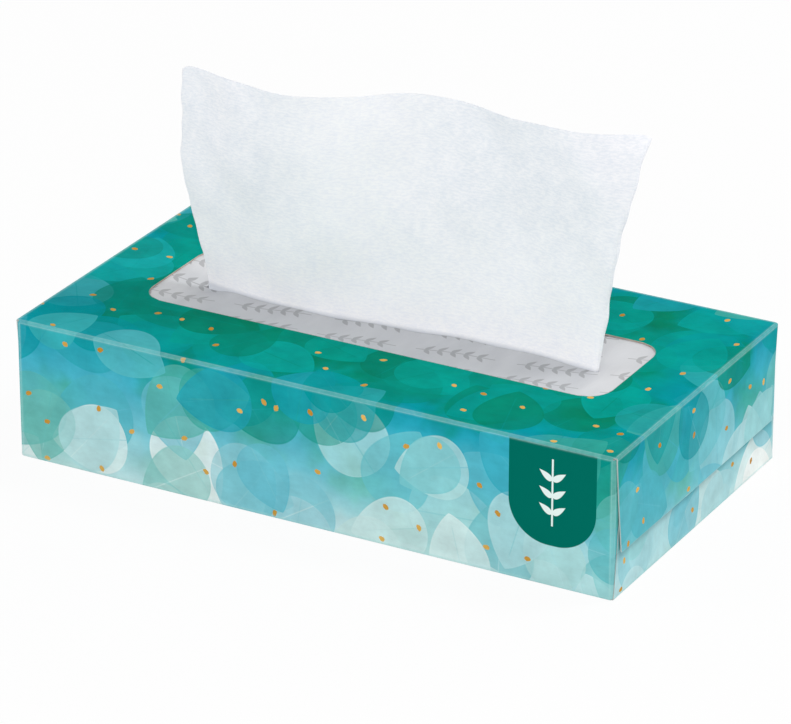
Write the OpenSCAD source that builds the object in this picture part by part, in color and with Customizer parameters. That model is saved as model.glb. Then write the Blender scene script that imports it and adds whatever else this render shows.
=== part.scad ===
// Flat box of facial tissues: a folded and glued carton with a film window in its top,
// a stack of interfolded sheets inside, and one sheet pulled half-way out of the slit.
// The base lies on z = 0 with its centre at the origin. The front faces -Y.

/* [Sheets] */
// Width of a sheet, along the box
sheet_w = 208; // [170:1:230]
// Length of a sheet, in the direction in which it is pulled
sheet_l = 213; // [200:1:240]
// Thickness of a sheet
sheet_t = 0.3; // [0.2:0.05:0.4]
// Height of the stack
stack_h = 40; // [25:1:80]
// Rounding of the stack along its folded sides
stack_edge_r = 4; // [1:0.5:8]

/* [Carton] */
// Thickness of the paperboard
board_t = 0.4; // [0.3:0.05:0.7]
// Inner radius of a fold
fold_inner_r = 0.15; // [0.05:0.05:0.8]
// Room between the stack and each end of the carton
end_room = 8.8; // [4:0.1:15]
// Room between the stack and the front and back panels
side_room = 7.85; // [5:0.05:15]
// Room between the stack and the top panel
head_room = 10.2; // [9:0.1:20]
// Height of the glue flap inside the back panel
glue_flap_h = 13; // [6:1:25]
// Height of the back panel's free lower edge above the table
seam_rise = 0.3; // [0.1:0.1:1]

/* [Cut-out] */
// Mean distance from the cut-out to the ends of the carton
cutout_end_margin = 25.5; // [20:0.5:40]
// Shift of the cut-out to the right of the carton's centre
cutout_x = 0.8; // [-3:0.1:3]
// Width of the cut-out across the top panel
cutout_w = 48.5; // [35:0.5:65]
// Corner radius of the cut-out
cutout_r = 9.5; // [4:0.5:15]

/* [End flaps] */
// Length of the outer flap that hangs from the top panel
upper_flap_l = 34.7; // [28:0.1:40]
// Length of the flap that stands up from the bottom panel
lower_flap_l = 30; // [24:1:36]
// Depth of the dust flaps behind them
dust_flap_l = 48; // [30:1:54]
// Gap at the side of an end flap beside its fold
flap_gap = 0.2; // [0.1:0.1:1]
// Taper of an end flap's sides over its length
flap_taper = 3.2; // [1:0.2:6]

/* [Film] */
// Thickness of the film
film_t = 0.15; // [0.1:0.05:0.3]
// Width of the film's glued border round the cut-out
film_border = 14; // [6:1:16]
// Gap between the film and the board that it is glued to
glue_gap = 0.05; // [0.02:0.01:0.1]
// How far the film sags below the board
film_sag = 1.5; // [0.5:0.1:2]
// Height of the film's ripples
film_ripple = 0.25; // [0:0.05:0.4]
// Distance from the slit to each end of the cut-out
slit_end_margin = 11; // [8:0.5:20]
// Shift of the slit to the right of the cut-out's centre
slit_x = 0.4; // [-3:0.1:3]
// Shift of the slit behind the cut-out's centre
slit_y = -1.8; // [-5:0.1:5]
// Room between the sheet and the lips of the slit
slit_gap = 0.75; // [0.5:0.05:1.5]

/* [Pulled sheet] */
// Height of the sheet's top edge above the slit
pull_out = 81.8; // [60:0.1:100]
// Spread of the sheet's left side from the slit to its top edge
flare_left = 10.7; // [5:0.1:18]
// Spread of the sheet's right side from the slit to its top edge
flare_right = 12.7; // [5:0.1:18]
// Length of one wave across the sheet at its top edge
wave_l_top = 105; // [80:1:160]
// Length of one wave across the sheet in the slit
wave_l_slit = 178; // [120:1:240]
// Place of the wave's first trough
wave_x = -42.5; // [-80:0.5:0]
// Height of the wave at the top edge
wave_top = 7.4; // [2:0.1:12]
// Height of the wave in the slit
wave_slit = 4.7; // [0.5:0.1:6]
// Slope of the sheet across the box at its top edge
slope_top = 0.17; // [0:0.005:0.2]
// Slope of the sheet across the box in the slit
slope_slit = -0.04; // [-0.1:0.005:0.1]
// How far the top edge leans back
lean = 9.6; // [0:0.1:18]
// Radius at which the sides turn back, at the top edge
turn_r_top = 1.5; // [1.2:0.1:4]
// Radius at which the sides turn back, in the slit
turn_r_slit = 1; // [0.8:0.1:1.2]
// Radius at which the sides turn back, on the stack
turn_r_tail = 0.5; // [0.4:0.05:0.7]
// Angle through which the sides turn back at the top edge
turn_angle_top = 172; // [150:1:176]
// Share of the height over which the left side spreads
left_spread = 0.62; // [0.4:0.02:1]
// Power by which the right side's spread grows with its height
right_power = 1.5; // [1:0.1:2.5]
// Fall of a turned side for each millimetre of its width
side_fall = 0.33; // [0:0.01:0.5]
// Length of the sheet's upper leaf on the stack
leaf_l = 38; // [20:1:40]
// Radius of the fold between its leaves
leaf_r = 1; // [0.8:0.1:1.5]
// Gap between the sheet and the stack
seat_gap = 0.3; // [0.1:0.05:0.5]

/* [Hidden] */
$fn = 64;

// Three layers of board close each end: dust flaps, lower flap, upper flap
end_layers = 3;
stack_w = sheet_l / 2;
fold_r = fold_inner_r + board_t;
box_l = sheet_w + 2 * end_room + 2 * end_layers * board_t;
box_w = stack_w + 2 * side_room + 2 * board_t;
box_h = stack_h + head_room + 2 * board_t;
stack_top = board_t + stack_h;
cutout_l = box_l - 2 * cutout_end_margin;
// The sleeve's panels end where the dust flaps turn in, under the other two layers
sleeve_end = box_l / 2 - 2 * board_t - fold_r;

film_top = box_h - board_t - glue_gap;
film_l = cutout_l + 2 * film_border;
film_w = cutout_w + 2 * film_border;
// The sag fades out over a few millimetres behind the cut-out's edge
sag_margin = 4;
film_columns = 96;
film_rows = 8;
slit_half_l = cutout_l / 2 - slit_end_margin;
slit_centre = cutout_x + slit_x;
slit_half_w = turn_r_slit + sheet_t / 2 + slit_gap;
// Bluntness of the slit's ends
slit_end_power = 0.14;
// Length of one ripple along the film
ripple_l = 31;

// The sheet bends towards the stack below the film's lowest point
slit_z = film_top - film_sag - film_ripple - film_t;
bend_r = slit_z - stack_top - seat_gap - sheet_t / 2 - 2 * turn_r_tail - 2 * leaf_r;
bend_l = bend_r * PI / 2;
leaf_turn_l = leaf_r * PI;
tail_start = pull_out + bend_l + leaf_l + leaf_turn_l;
// Room between the sheet's sides and the ends of the slit
slit_end_gap = 1.5 * slit_gap;
// Half of the sheet's width that shows between its turned sides, in the slit
slit_half_sheet = slit_half_l - slit_end_gap - turn_r_slit - sheet_t / 2;
standing_rows = 11;
bend_rows = 4;
leaf_rows = 2;
side_columns = 3;
turn_columns = 6;
front_columns = 12;
centre_column = side_columns + turn_columns + front_columns;

// One rounded corner of board, in the first quadrant
module fold_section() {
    intersection() {
        difference() {
            circle(fold_r);
            circle(fold_inner_r);
        }
        square(fold_r);
    }
}

module panel_section(y0, z0, y1, z1) {
    translate([y0, z0]) square([y1 - y0, z1 - z0]);
}

// Section of the sleeve, with the front at the left
module sleeve_section() {
    y = box_w / 2;
    flap_y = y - board_t;
    panel_section(fold_r - y, box_h - board_t, y - fold_r, box_h);
    panel_section(-y, fold_r, board_t - y, box_h - fold_r);
    panel_section(fold_r - y, 0, flap_y - fold_r, board_t);
    panel_section(y - board_t, seam_rise, y, box_h - fold_r);
    panel_section(flap_y - board_t, fold_r, flap_y, glue_flap_h);
    translate([y - fold_r, box_h - fold_r]) fold_section();
    translate([fold_r - y, box_h - fold_r]) rotate(90) fold_section();
    translate([fold_r - y, fold_r]) rotate(180) fold_section();
    translate([flap_y - fold_r, fold_r]) rotate(270) fold_section();
}

module along_x(length) {
    rotate([90, 0, 90]) linear_extrude(length, center = true) children();
}

module rounded_rectangle(l, w, r) {
    square([l - 2 * r, w], center = true);
    square([l, w - 2 * r], center = true);
    for (x = [-1, 1], y = [-1, 1])
        translate([x * (l / 2 - r), y * (w / 2 - r)]) circle(r);
}

// Flat part of an end flap: a tapered plate with its outer face at x, from its fold at z0 to its edge at z1
module end_flap(x, z0, z1) {
    root = box_w / 2 - fold_r - flap_gap;
    tip = root - flap_taper;
    translate([x - board_t, 0, 0]) rotate([90, 0, 90]) linear_extrude(board_t)
        polygon([[-root, z0], [root, z0], [tip, z1], [-tip, z1]]);
}

// Strip of a panel beyond the sleeve, with the fold to its end flap, for a fold whose axis is at z = 0
module end_fold(x) {
    width = box_w - 2 * (fold_r + flap_gap);
    strip_l = x - fold_r - sleeve_end;
    translate([sleeve_end, -width / 2, fold_r - board_t]) cube([strip_l, width, board_t]);
    translate([x - fold_r, 0, 0]) rotate([90, 0, 0])
        linear_extrude(width, center = true) fold_section();
}

// Dust flap that turns in from the front panel, with its free corners cut away
module dust_flap() {
    x = box_l / 2 - 2 * board_t;
    y = -box_w / 2;
    z0 = fold_r;
    z1 = box_h - fold_r;
    translate([sleeve_end, y + fold_r, z0]) rotate(-90) linear_extrude(z1 - z0) fold_section();
    translate([x - board_t, 0, 0]) rotate([90, 0, 90]) linear_extrude(board_t)
        polygon([[y + fold_r, z0], [y + dust_flap_l, z0 + flap_taper],
                 [y + dust_flap_l, z1 - flap_taper], [y + fold_r, z1]]);
}

module closed_end() {
    upper_x = box_l / 2;
    lower_x = upper_x - board_t;
    translate([0, 0, box_h - fold_r]) end_fold(upper_x);
    end_flap(upper_x, box_h - fold_r, box_h - upper_flap_l);
    translate([0, 0, fold_r]) mirror([0, 0, 1]) end_fold(lower_x);
    end_flap(lower_x, fold_r, lower_flap_l);
    dust_flap();
    mirror([0, 1, 0]) dust_flap();
}

module carton() {
    color([0.25, 0.64, 0.62]) {
        difference() {
            along_x(2 * sleeve_end) sleeve_section();
            translate([0, 0, box_h - 2 * board_t]) linear_extrude(3 * board_t)
                translate([cutout_x, 0]) rounded_rectangle(cutout_l, cutout_w, cutout_r);
        }
        closed_end();
        mirror([1, 0, 0]) closed_end();
    }
}

module tissue_stack() {
    color([0.93, 0.94, 0.96])
        translate([0, 0, board_t + stack_h / 2]) along_x(sheet_w)
            rounded_rectangle(stack_w, stack_h, stack_edge_r);
}

function unit(v) = v / norm(v);
function mix(a, b, k) = a + (b - a) * k;
function clamp(v, low, high) = min(max(v, low), high);

// Wave across the sheet, as a shift to the back at x, for a slope, a height and a length of wave
function wave_shift(x, slope, height, length) =
    slope * x - height * (cos(360 * (x - wave_x) / length) - cos(360 * wave_x / length));

// Slope of that wave
function wave_slope(x, slope, height, length) =
    slope + height * 2 * PI / length * sin(360 * (x - wave_x) / length);

// Edge of the slit in the direction a: a blunt-ended lens that follows the sheet's wave
function slit_point(a) =
    let (x = slit_half_l * cos(a),
         side = sign(sin(a)) * pow(abs(sin(a)), slit_end_power))
    [slit_centre + x,
     slit_y + wave_shift(x, slope_slit, wave_slit, wave_l_slit) + turn_r_slit + slit_half_w * side];

// Outer edge of the film in the direction a
function film_edge(a) =
    [cutout_x, 0] + [film_l / 2 * cos(a), film_w / 2 * sin(a)] / max(abs(cos(a)), abs(sin(a)));

// Share of the sag in one direction, at a distance from the middle of a cut-out with a given half size
function sag_share(distance, half, power) = max(0, 1 - pow(distance / (half + sag_margin), power));

// Share of the sag at a point: 1 in the middle of the cut-out, 0 where the film is glued
function film_loose(p) = sag_share(p[0] - cutout_x, cutout_l / 2, 6) * sag_share(p[1], cutout_w / 2, 4);

function film_drop(p) =
    film_loose(p) * (film_sag + film_ripple * sin(360 * (p[0] + p[1] / 2) / ripple_l));

// Upper face of the film: v goes from the slit to the film's edge
function film_point(a, v) =
    let (p = mix(slit_point(a), film_edge(a), v))
    [p[0], p[1], film_top - film_drop(p)];

// Triangles of a closed sheet with two faces of rows x columns points: the second face follows the first
function grid_faces(rows, columns, wrap) =
    let (n = rows * columns, last = wrap ? columns - 1 : columns - 2)
    [for (i = [0 : rows - 2], j = [0 : last])
        let (a = i * columns + j, b = i * columns + (j + 1) % columns, c = a + columns, d = b + columns)
        each [[a, b, c], [b, d, c], [a + n, c + n, b + n], [b + n, c + n, d + n]]];

// Triangles that close the edge along one row, between the two faces
function row_edge(i, rows, columns, wrap, flip) =
    let (n = rows * columns, last = wrap ? columns - 1 : columns - 2)
    [for (j = [0 : last])
        let (a = i * columns + j, b = i * columns + (j + 1) % columns)
        each flip ? [[a, b, a + n], [b, b + n, a + n]] : [[a, a + n, b], [b, a + n, b + n]]];

// Triangles that close the edge along one column, between the two faces
function column_edge(j, rows, columns, flip) =
    let (n = rows * columns)
    [for (i = [0 : rows - 2])
        let (a = i * columns + j, b = a + columns)
        each flip ? [[a, a + n, b], [b, a + n, b + n]] : [[a, b, a + n], [b, b + n, a + n]]];

module window_film() {
    rows = film_rows + 1;
    upper = [for (i = [0 : film_rows], j = [0 : film_columns - 1])
        film_point(360 * j / film_columns, i / film_rows)];
    lower = [for (p = upper) p - [0, 0, film_t]];
    faces = concat(grid_faces(rows, film_columns, true),
                   row_edge(0, rows, film_columns, true, false),
                   row_edge(film_rows, rows, film_columns, true, true));
    color([0.85, 0.86, 0.87]) polyhedron(concat(upper, lower), faces);
}

// Stations down the sheet, as distances from its top edge
function even_steps(start, length, steps) = [for (i = [0 : steps - 1]) start + length * i / steps];
sheet_stations = concat(
    even_steps(0, pull_out, standing_rows),
    even_steps(pull_out, bend_l, bend_rows),
    even_steps(pull_out + bend_l, leaf_l, leaf_rows),
    even_steps(tail_start - leaf_turn_l, leaf_turn_l, bend_rows),
    even_steps(tail_start, sheet_l - tail_start, leaf_rows),
    [sheet_l]);

// Share of the way from the slit up to the top edge
function rise(s) = clamp(1 - s / pull_out, 0, 1);
// The left side spreads in an S and then hangs straight, the right side spreads late
function soft_step(k) = k * k * (3 - 2 * k);
function left_half(s) = slit_half_sheet + flare_left * soft_step(min(1, rise(s) / left_spread));
function right_half(s) = slit_half_sheet + flare_right * pow(rise(s), right_power);
function wave_height(s) = lookup(s, [[0, wave_top], [pull_out, wave_slit], [pull_out + bend_l, 0]]);
function wave_length(s) = lookup(s, [[0, wave_l_top], [pull_out, wave_l_slit]]);
function sheet_slope(s) = lookup(s, [[0, slope_top], [pull_out, slope_slit], [pull_out + bend_l, 0]]);
function turn_angle(s) = lookup(s, [[0, turn_angle_top], [pull_out, 180]]);
function turn_r(s) = lookup(s, [[0, turn_r_top], [pull_out, turn_r_slit], [pull_out + bend_l, turn_r_tail]]);

// Distances across the sheet at which a row has points: the side, the turn, the front, the turn, the side
function columns_at(s) =
    let (turn_l = turn_r(s) * PI, l = left_half(s), r = right_half(s), edge = sheet_w / 2)
    concat(even_steps(-edge, edge - l - turn_l, side_columns),
           even_steps(-l - turn_l, turn_l, turn_columns),
           even_steps(-l, l, front_columns),
           even_steps(0, r, front_columns),
           even_steps(r, turn_l, turn_columns),
           even_steps(r + turn_l, edge - r - turn_l, side_columns),
           [edge]);

// Direction of a row at the distance u across the sheet
// A turned side runs back along the front that it faces
function heading(u, s) =
    let (turn_l = turn_r(s) * PI,
         front = clamp(u, -left_half(s), right_half(s)),
         past = max(0, abs(u - front) - turn_l),
         turned = clamp((u - front) / turn_l, -1, 1))
    turn_angle(s) * turned
    + atan(wave_slope(front - sign(u) * past, sheet_slope(s), wave_height(s), wave_length(s)));

// A row's points as distances along the box and behind the sheet's middle, added up from its headings
function row_section(s) =
    let (us = columns_at(s), n = len(us),
         steps = [for (i = [0 : n - 2])
             let (a = (heading(us[i], s) + heading(us[i + 1], s)) / 2)
             (us[i + 1] - us[i]) * [cos(a), sin(a)]],
         sums = [for (i = 0, p = [0, 0]; i < n; p = i < n - 1 ? p + steps[i] : p, i = i + 1) p],
         fall = [for (u = us) -side_fall * rise(s) * max(0, u - right_half(s), -u - left_half(s))])
    [for (i = [0 : n - 1]) [each sums[i] - sums[centre_column], fall[i]]];

// Place of the sheet's middle at s, as [y, z, angle of its back]
function sheet_path(s) =
    s <= pull_out ? [slit_y + lean * rise(s), slit_z + pull_out - s, 0]
    : s <= pull_out + bend_l ? bend_place((s - pull_out) / bend_l * 90)
    : s <= tail_start - leaf_turn_l ? [slit_y + bend_r + s - pull_out - bend_l, slit_z - bend_r, 90]
    : s <= tail_start ? leaf_turn_place((s - tail_start + leaf_turn_l) / leaf_turn_l * 180)
    : [slit_y + bend_r + leaf_l - (s - tail_start), slit_z - bend_r - 2 * leaf_r, -90];
function bend_place(a) = [slit_y + bend_r * (1 - cos(a)), slit_z - bend_r * sin(a), a];
function leaf_turn_place(a) =
    [slit_y + bend_r + leaf_l + leaf_r * sin(a), slit_z - bend_r - leaf_r * (1 - cos(a)), 90 - a];

// The wave shifts the sheet to the back, and the rest of its section follows the path's turns
function sheet_row(s) =
    let (place = sheet_path(s))
    [for (q = row_section(s))
        let (shift = wave_shift(q[0], sheet_slope(s), wave_height(s), wave_length(s)),
             rest = q[1] - shift)
        [slit_centre + q[0],
         place[0] + shift + rest * cos(place[2]),
         place[1] + rest * sin(place[2]) + q[2]]];

// Direction across the sheet's face at row i, column j
function face_normal(grid, i, j) =
    let (down = grid[min(i + 1, len(grid) - 1)][j] - grid[max(i - 1, 0)][j],
         across = grid[i][min(j + 1, len(grid[0]) - 1)] - grid[i][max(j - 1, 0)])
    unit(cross(down, across));

module pop_up_tissue() {
    grid = [for (s = sheet_stations) sheet_row(s)];
    rows = len(grid);
    columns = len(grid[0]);
    normals = [for (i = [0 : rows - 1], j = [0 : columns - 1]) face_normal(grid, i, j)];
    middle = [for (row = grid) each row];
    back = [for (k = [0 : len(middle) - 1]) middle[k] - normals[k] * sheet_t / 2];
    front = [for (k = [0 : len(middle) - 1]) middle[k] + normals[k] * sheet_t / 2];
    faces = concat(grid_faces(rows, columns, false),
                   row_edge(0, rows, columns, false, false), row_edge(rows - 1, rows, columns, false, true),
                   column_edge(0, rows, columns, false), column_edge(columns - 1, rows, columns, true));
    color([0.94, 0.95, 0.97]) polyhedron(concat(front, back), faces);
}

carton();
window_film();
tissue_stack();
pop_up_tissue();
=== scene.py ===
"""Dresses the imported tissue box: printed carton, window film, stacked tissues and the standing sheet."""

import logging
import math
from dataclasses import dataclass
from enum import IntEnum
from typing import Any, Mapping, Sequence, Union

import bmesh
import bpy
import numpy as np
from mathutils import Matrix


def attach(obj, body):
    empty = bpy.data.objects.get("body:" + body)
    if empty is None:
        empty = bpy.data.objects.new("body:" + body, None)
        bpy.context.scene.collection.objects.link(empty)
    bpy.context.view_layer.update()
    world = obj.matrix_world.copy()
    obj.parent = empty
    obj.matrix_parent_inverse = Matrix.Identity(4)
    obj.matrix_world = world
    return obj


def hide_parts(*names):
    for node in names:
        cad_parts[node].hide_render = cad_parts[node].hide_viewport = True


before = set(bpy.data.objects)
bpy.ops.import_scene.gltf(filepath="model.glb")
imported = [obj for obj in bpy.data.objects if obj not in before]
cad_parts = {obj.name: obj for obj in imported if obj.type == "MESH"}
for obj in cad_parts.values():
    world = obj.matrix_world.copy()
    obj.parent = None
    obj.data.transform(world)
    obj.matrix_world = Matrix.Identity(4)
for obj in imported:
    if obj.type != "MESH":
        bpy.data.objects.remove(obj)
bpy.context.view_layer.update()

log = logging.getLogger("tissue_box")

# Sizes in this file are in millimetres, and meshes are in metres
MM = 0.001

# Distance to a fold or cut edge that is too far away to show
FAR = 50.0

# Points of neighbouring patches that lie closer than this, in metres, are merged
MERGE_DISTANCE = 1e-7

# Digits that distances are rounded to, so that equal ones are found
DIGITS = 6

# Points along a fold of the board
FOLD_POINTS = 9

# Angle from which an edge is shaded sharp
SHARP_ANGLE = math.radians(50)

# Values between which nearly all of Blender's noise lies
NOISE_LOW, NOISE_HIGH = 0.3, 0.7

ORIGIN = (0.0, 0.0, 0.0)
LEVEL = (1.0, 1.0, 0.0)
WHITE = (1.0, 1.0, 1.0, 1.0)

Ink = tuple[int, int, int]
Vector = tuple[float, float, float]
Colour = tuple[float, float, float, float]
Socket = bpy.types.NodeSocket
Feed = Union[bpy.types.NodeSocket, float, Sequence[float]]
Values = Union[np.ndarray, float]


def ink(red: int, green: int, blue: int) -> Colour:
    """Turns an 8-bit display colour into the linear colour that a shader takes.

    Args:
        red: Red, 0 to 255.
        green: Green, 0 to 255.
        blue: Blue, 0 to 255.

    Returns:
        Linear red, green, blue and an alpha of 1.
    """
    share = np.array([red, green, blue]) / 255
    linear = np.where(share <= 0.04045, share / 12.92, ((share + 0.055) / 1.055) ** 2.4)
    return (*linear.tolist(), 1.0)


def grey(value: float) -> Colour:
    """A linear grey."""
    return (value, value, value, 1.0)


def smooth_step(share: np.ndarray) -> np.ndarray:
    """Eases a share between 0 and 1: its square times 3 less twice itself."""
    return share * share * (3 - 2 * share)


class Graph:
    """A shader node tree with short ways to add nodes and join them."""

    def __init__(self, tree: bpy.types.NodeTree) -> None:
        """Keeps the tree that nodes are added to."""
        self.tree = tree

    def feed(self, socket: Socket, value: Feed) -> None:
        """Links a value to a socket, or sets it if it is a plain number, vector or colour.

        Args:
            socket: The input.
            value: The output to link, or the value to set.
        """
        if isinstance(value, bpy.types.NodeSocket):
            self.tree.links.new(value, socket)
        else:
            socket.default_value = value

    def add(
        self, kind: str, inputs: Mapping[str | int, Feed] | None = None, **settings: Any
    ) -> bpy.types.Node:
        """Adds a node.

        Args:
            kind: The node's type.
            inputs: Values or sockets for its inputs, by name or number.
            **settings: Properties of the node.

        Returns:
            The node.
        """
        node = self.tree.nodes.new(kind)
        for key, value in settings.items():
            setattr(node, key, value)
        for key, value in (inputs or {}).items():
            self.feed(node.inputs[key], value)
        return node

    def math(self, operation: str, a: Feed, b: Feed = 0.0, clamp: bool = False) -> Socket:
        """Result of a Math node on two values."""
        return self.add("ShaderNodeMath", {0: a, 1: b}, operation=operation, use_clamp=clamp).outputs[0]

    def plus(self, a: Feed, b: Feed) -> Socket:
        """One value plus another."""
        return self.math("ADD", a, b)

    def minus(self, a: Feed, b: Feed) -> Socket:
        """One value less another."""
        return self.math("SUBTRACT", a, b)

    def times(self, first: Feed, *others: Feed) -> Socket:
        """Product of two or more values.

        Args:
            first: The first value.
            *others: The values that it is multiplied by, in order.

        Returns:
            The product.
        """
        product = first
        for other in others:
            product = self.math("MULTIPLY", product, other)
        return product

    def over(self, a: Feed, b: Feed) -> Socket:
        """One value divided by another."""
        return self.math("DIVIDE", a, b)

    def size(self, a: Feed) -> Socket:
        """A value without its sign."""
        return self.math("ABSOLUTE", a)

    def larger(self, a: Feed, b: Feed = 0.0) -> Socket:
        """The larger of two values."""
        return self.math("MAXIMUM", a, b)

    def above(self, a: Feed, b: Feed) -> Socket:
        """1 where the first value is above the second, and 0 elsewhere."""
        return self.math("GREATER_THAN", a, b)

    def below(self, a: Feed, b: Feed) -> Socket:
        """1 where the first value is below the second, and 0 elsewhere."""
        return self.math("LESS_THAN", a, b)

    def vector(self, operation: str, a: Feed, b: Feed = ORIGIN) -> Socket:
        """Vector result of a Vector Math node on two vectors."""
        return self.add("ShaderNodeVectorMath", {0: a, 1: b}, operation=operation).outputs["Vector"]

    def length(self, a: Feed) -> Socket:
        """Length of a vector."""
        return self.add("ShaderNodeVectorMath", {0: a}, operation="LENGTH").outputs["Value"]

    def scaled(self, a: Feed, scale: Feed) -> Socket:
        """A vector times a number."""
        return self.add("ShaderNodeVectorMath", {0: a, "Scale": scale}, operation="SCALE").outputs["Vector"]

    def turned(self, a: Feed, angle: Feed) -> Socket:
        """A vector turned about Z by an angle in radians."""
        node = self.add("ShaderNodeVectorRotate", {"Vector": a, "Angle": angle}, rotation_type="Z_AXIS")
        return node.outputs["Vector"]

    def joined(self, x: Feed, y: Feed) -> Socket:
        """A level vector with the given X and Y."""
        return self.add("ShaderNodeCombineXYZ", {0: x, 1: y}).outputs[0]

    def parts(self, a: Feed) -> tuple[Socket, Socket, Socket]:
        """X, Y and Z of a vector."""
        return tuple(self.add("ShaderNodeSeparateXYZ", {0: a}).outputs)

    def channels(self, a: Feed) -> tuple[Socket, Socket, Socket]:
        """Red, green and blue of a colour."""
        return tuple(self.add("ShaderNodeSeparateColor", {0: a}).outputs)

    def smooth(self, value: Feed, low: Feed, high: Feed) -> Socket:
        """0 below low, 1 above high and a smooth step between them."""
        inputs = {"Value": value, "From Min": low, "From Max": high}
        return self.add("ShaderNodeMapRange", inputs, interpolation_type="SMOOTHSTEP").outputs["Result"]

    def edge(self, inside: Feed, soft: Feed) -> Socket:
        """1 inside an edge, 0 outside it, and a smooth step over a soft width to both sides of it."""
        return self.smooth(inside, self.times(soft, -1.0), soft)

    def span(self, value: Feed, low: Feed, high: Feed, to_low: Feed, to_high: Feed) -> Socket:
        """A value carried from one range to another in a straight line, and held at its ends."""
        inputs = {"Value": value, "From Min": low, "From Max": high, "To Min": to_low, "To Max": to_high}
        return self.add("ShaderNodeMapRange", inputs).outputs["Result"]

    def vary(self, noise: Feed, to_low: Feed, to_high: Feed) -> Socket:
        """Noise carried to a range of its own."""
        return self.span(noise, NOISE_LOW, NOISE_HIGH, to_low, to_high)

    def mix(self, factor: Feed, a: Feed, b: Feed, blend: str = "MIX") -> Socket:
        """Two colours mixed by a factor."""
        inputs = {0: factor, 6: a, 7: b}
        return self.add("ShaderNodeMix", inputs, data_type="RGBA", blend_type=blend).outputs[2]

    def ramp(self, value: Feed, stops: Sequence[tuple[float, Colour]]) -> Socket:
        """A colour ramp.

        Args:
            value: Place on the ramp.
            stops: Places and colours of its stops, from the lowest to the highest place.

        Returns:
            The ramp's colour.
        """
        node = self.add("ShaderNodeValToRGB", {0: value})
        elements = node.color_ramp.elements
        while len(elements) < len(stops):
            elements.new(1.0)
        for element, (place, colour) in zip(elements, stops):
            element.position = place
            element.color = colour
        return node.outputs["Color"]

    def noise(self, vector: Feed, scale: float, detail: float = 2.0, roughness: float = 0.5) -> Socket:
        """Smooth noise."""
        inputs = {"Vector": vector, "Scale": scale, "Detail": detail, "Roughness": roughness}
        return self.add("ShaderNodeTexNoise", inputs).outputs[0]

    def bump(self, height: Feed, strength: float, depth: float, normal: Socket | None = None) -> Socket:
        """A normal bent by a height.

        Args:
            height: The height.
            strength: Strength of the bump.
            depth: Depth in millimetres of a height of 1.
            normal: Normal that is bent, or None for the surface's own.

        Returns:
            The bent normal.
        """
        inputs = {"Strength": strength, "Distance": depth * MM, "Height": height}
        if normal is not None:
            inputs["Normal"] = normal
        return self.add("ShaderNodeBump", inputs).outputs["Normal"]

    def group(self, tree: bpy.types.NodeTree, inputs: Mapping[str, Feed]) -> bpy.types.bpy_prop_collection:
        """Places a node group with its inputs and gives its outputs."""
        return self.add("ShaderNodeGroup", inputs, node_tree=tree).outputs

    def object_place(self) -> Socket:
        """Object coordinates in millimetres."""
        return self.scaled(self.add("ShaderNodeTexCoord").outputs["Object"], 1 / MM)

    def blank_place(self) -> Socket:
        """Place on the piece's flat blank in millimetres, from its UV map."""
        return self.add("ShaderNodeUVMap", uv_map="blank").outputs["UV"]

    def carried(self, name: str) -> Socket:
        """A value that the mesh carries at its points."""
        return self.add("ShaderNodeAttribute", attribute_name=name).outputs["Fac"]

    def seen(self) -> Socket:
        """Tells what is looked at from what only lights other surfaces.

        Returns:
            1 where a camera, a reflection or a clear surface looks, and 0 elsewhere.
        """
        rays = self.add("ShaderNodeLightPath").outputs
        direct = self.larger(rays["Is Camera Ray"], rays["Is Glossy Ray"])
        return self.larger(direct, rays["Is Transmission Ray"])


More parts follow.
